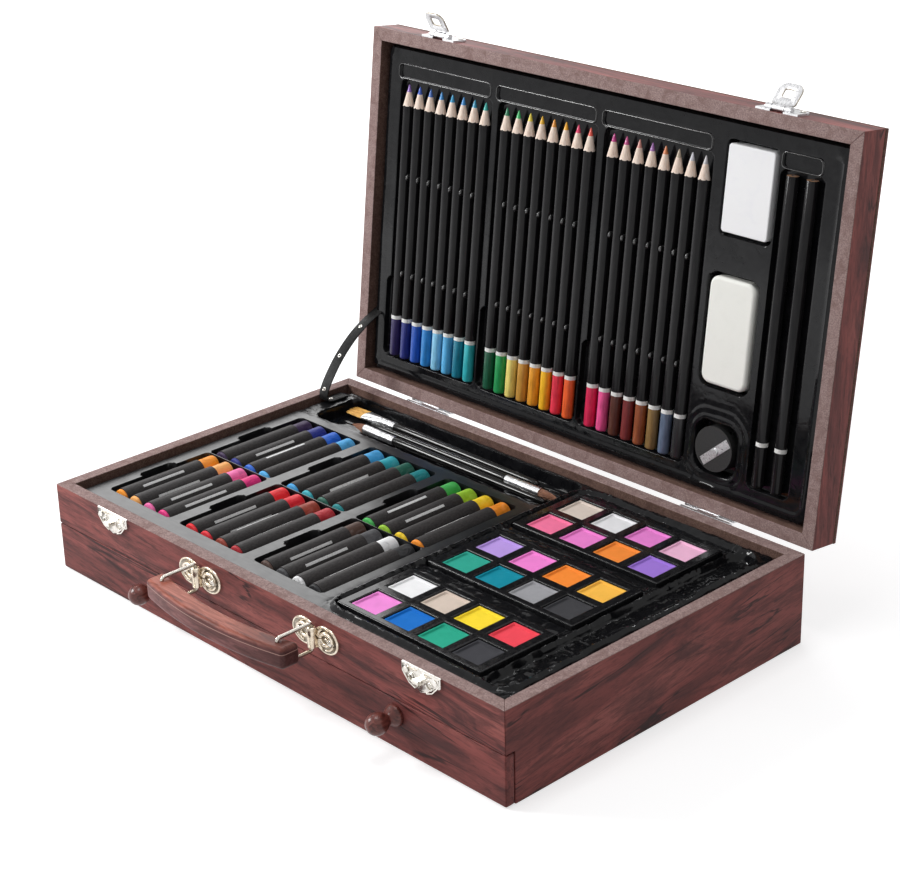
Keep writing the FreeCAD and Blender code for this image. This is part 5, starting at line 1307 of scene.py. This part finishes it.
# Room
# A plain pale floor under the case, soft lamps, and a white surround. The floor glows only where it is seen,
# directly or in gloss, and the surround is brighter there, so that the lamps light the object.
def seen_plainly(finish):
    """One where a thing is seen directly, in gloss or through something, else nothing."""
    ray = node(finish, "ShaderNodeLightPath").outputs
    direct = sum_of(finish, ray["Is Camera Ray"], ray["Is Glossy Ray"], "MAXIMUM")
    return sum_of(finish, direct, ray["Is Transmission Ray"], "MAXIMUM")


FLOOR_WHITE = surface("pale_floor", (0.6, 0.6, 0.605), 0.7, Specular_IOR_Level=0.1)
direct = seen_plainly(FLOOR_WHITE)
FLOOR_WHITE.node_tree.nodes["Principled BSDF"].inputs["Emission Color"].default_value = (1, 1, 1, 1)
place = node(FLOOR_WHITE, "ShaderNodeTexCoord").outputs["Object"]
away = node(FLOOR_WHITE, "ShaderNodeVectorMath", {0: place}, operation="LENGTH").outputs["Value"]
glow = node(FLOOR_WHITE, "ShaderNodeMapRange", {
    "Value": away, "From Min": 0.3, "From Max": 1.0, "To Min": 0.6, "To Max": 0.9,
}).outputs["Result"]
feed(FLOOR_WHITE, "Emission Strength", sum_of(FLOOR_WHITE, direct, glow, "MULTIPLY"))
FLOOR_SIZE = 14
FLOOR_DROP = 0.2 * MM
bpy.ops.mesh.primitive_plane_add(size=FLOOR_SIZE, location=(0, 0, -FLOOR_DROP))
floor = bpy.context.object
floor.name = "floor"
floor.data.materials.append(FLOOR_WHITE)

world = bpy.data.worlds.new("white_room")
scene.world = world
world.use_nodes = True
background = world.node_tree.nodes["Background"]
background.inputs["Color"].default_value = (1, 1, 1, 1)
strength = node(world, "ShaderNodeMapRange", {"Value": seen_plainly(world), "To Min": 0.38, "To Max": 1.0})
world.node_tree.links.new(strength.outputs["Result"], background.inputs["Strength"])


def softbox(name, place, aim, size, power):
    """A soft lamp aimed at a point."""
    lamp = bpy.data.lights.new(name, "AREA")
    lamp.shape = "RECTANGLE"
    lamp.size, lamp.size_y = size
    lamp.energy = power
    holder = bpy.data.objects.new(name, lamp)
    scene.collection.objects.link(holder)
    holder.visible_camera = False
    holder.location = place
    holder.rotation_euler = (Vector(aim) - Vector(place)).to_track_quat("-Z", "Y").to_euler()


softbox("front_left_lamp", (-0.95, -0.75, 0.7), (0, 0, 0.08), (0.4, 0.36), 13.2)
softbox("top_lamp", (0, -0.1, 1.7), (0, 0, 0.1), (0.5, 0.5), 6.5)
softbox("back_left_lamp", (-1.45, 0.9, 0.85), (-0.1, -0.05, 0.05), (1.0, 0.8), 7)
for number, place in enumerate(((-1.2, 0.3, 1.2), (-0.2, -1.5, 0.9), (0.5, 1.1, 1.1))):
    softbox(f"glint_{number}", place, (0.05, 0, 0.05), (0.08, 0.08), 1.0)
for number, place in enumerate(((-0.3, 0.8, 2.0), (0.1, 1.2, 2.2))):
    softbox(f"strip_{number}", place, (0.05, 0, 0.05), (0.6, 0.06), 1.6)

lens = bpy.data.cameras.new("photo_camera")
lens.sensor_width = 36
lens.lens = 85.41
camera = bpy.data.objects.new("photo_camera", lens)
scene.collection.objects.link(camera)
forward = Vector((-0.67025561, 0.62664282, -0.39758797))
rightward = Vector((0.69019709, 0.72323523, -0.02363832))
downward = Vector((0.27273684, -0.29025778, -0.91725953))
facing = Matrix((rightward, -downward, -forward)).transposed().to_4x4()
camera.matrix_world = Matrix.Translation((0.81206, -0.72979, 0.57685)) @ facing
scene.camera = camera
scene.view_settings.view_transform = "Standard"
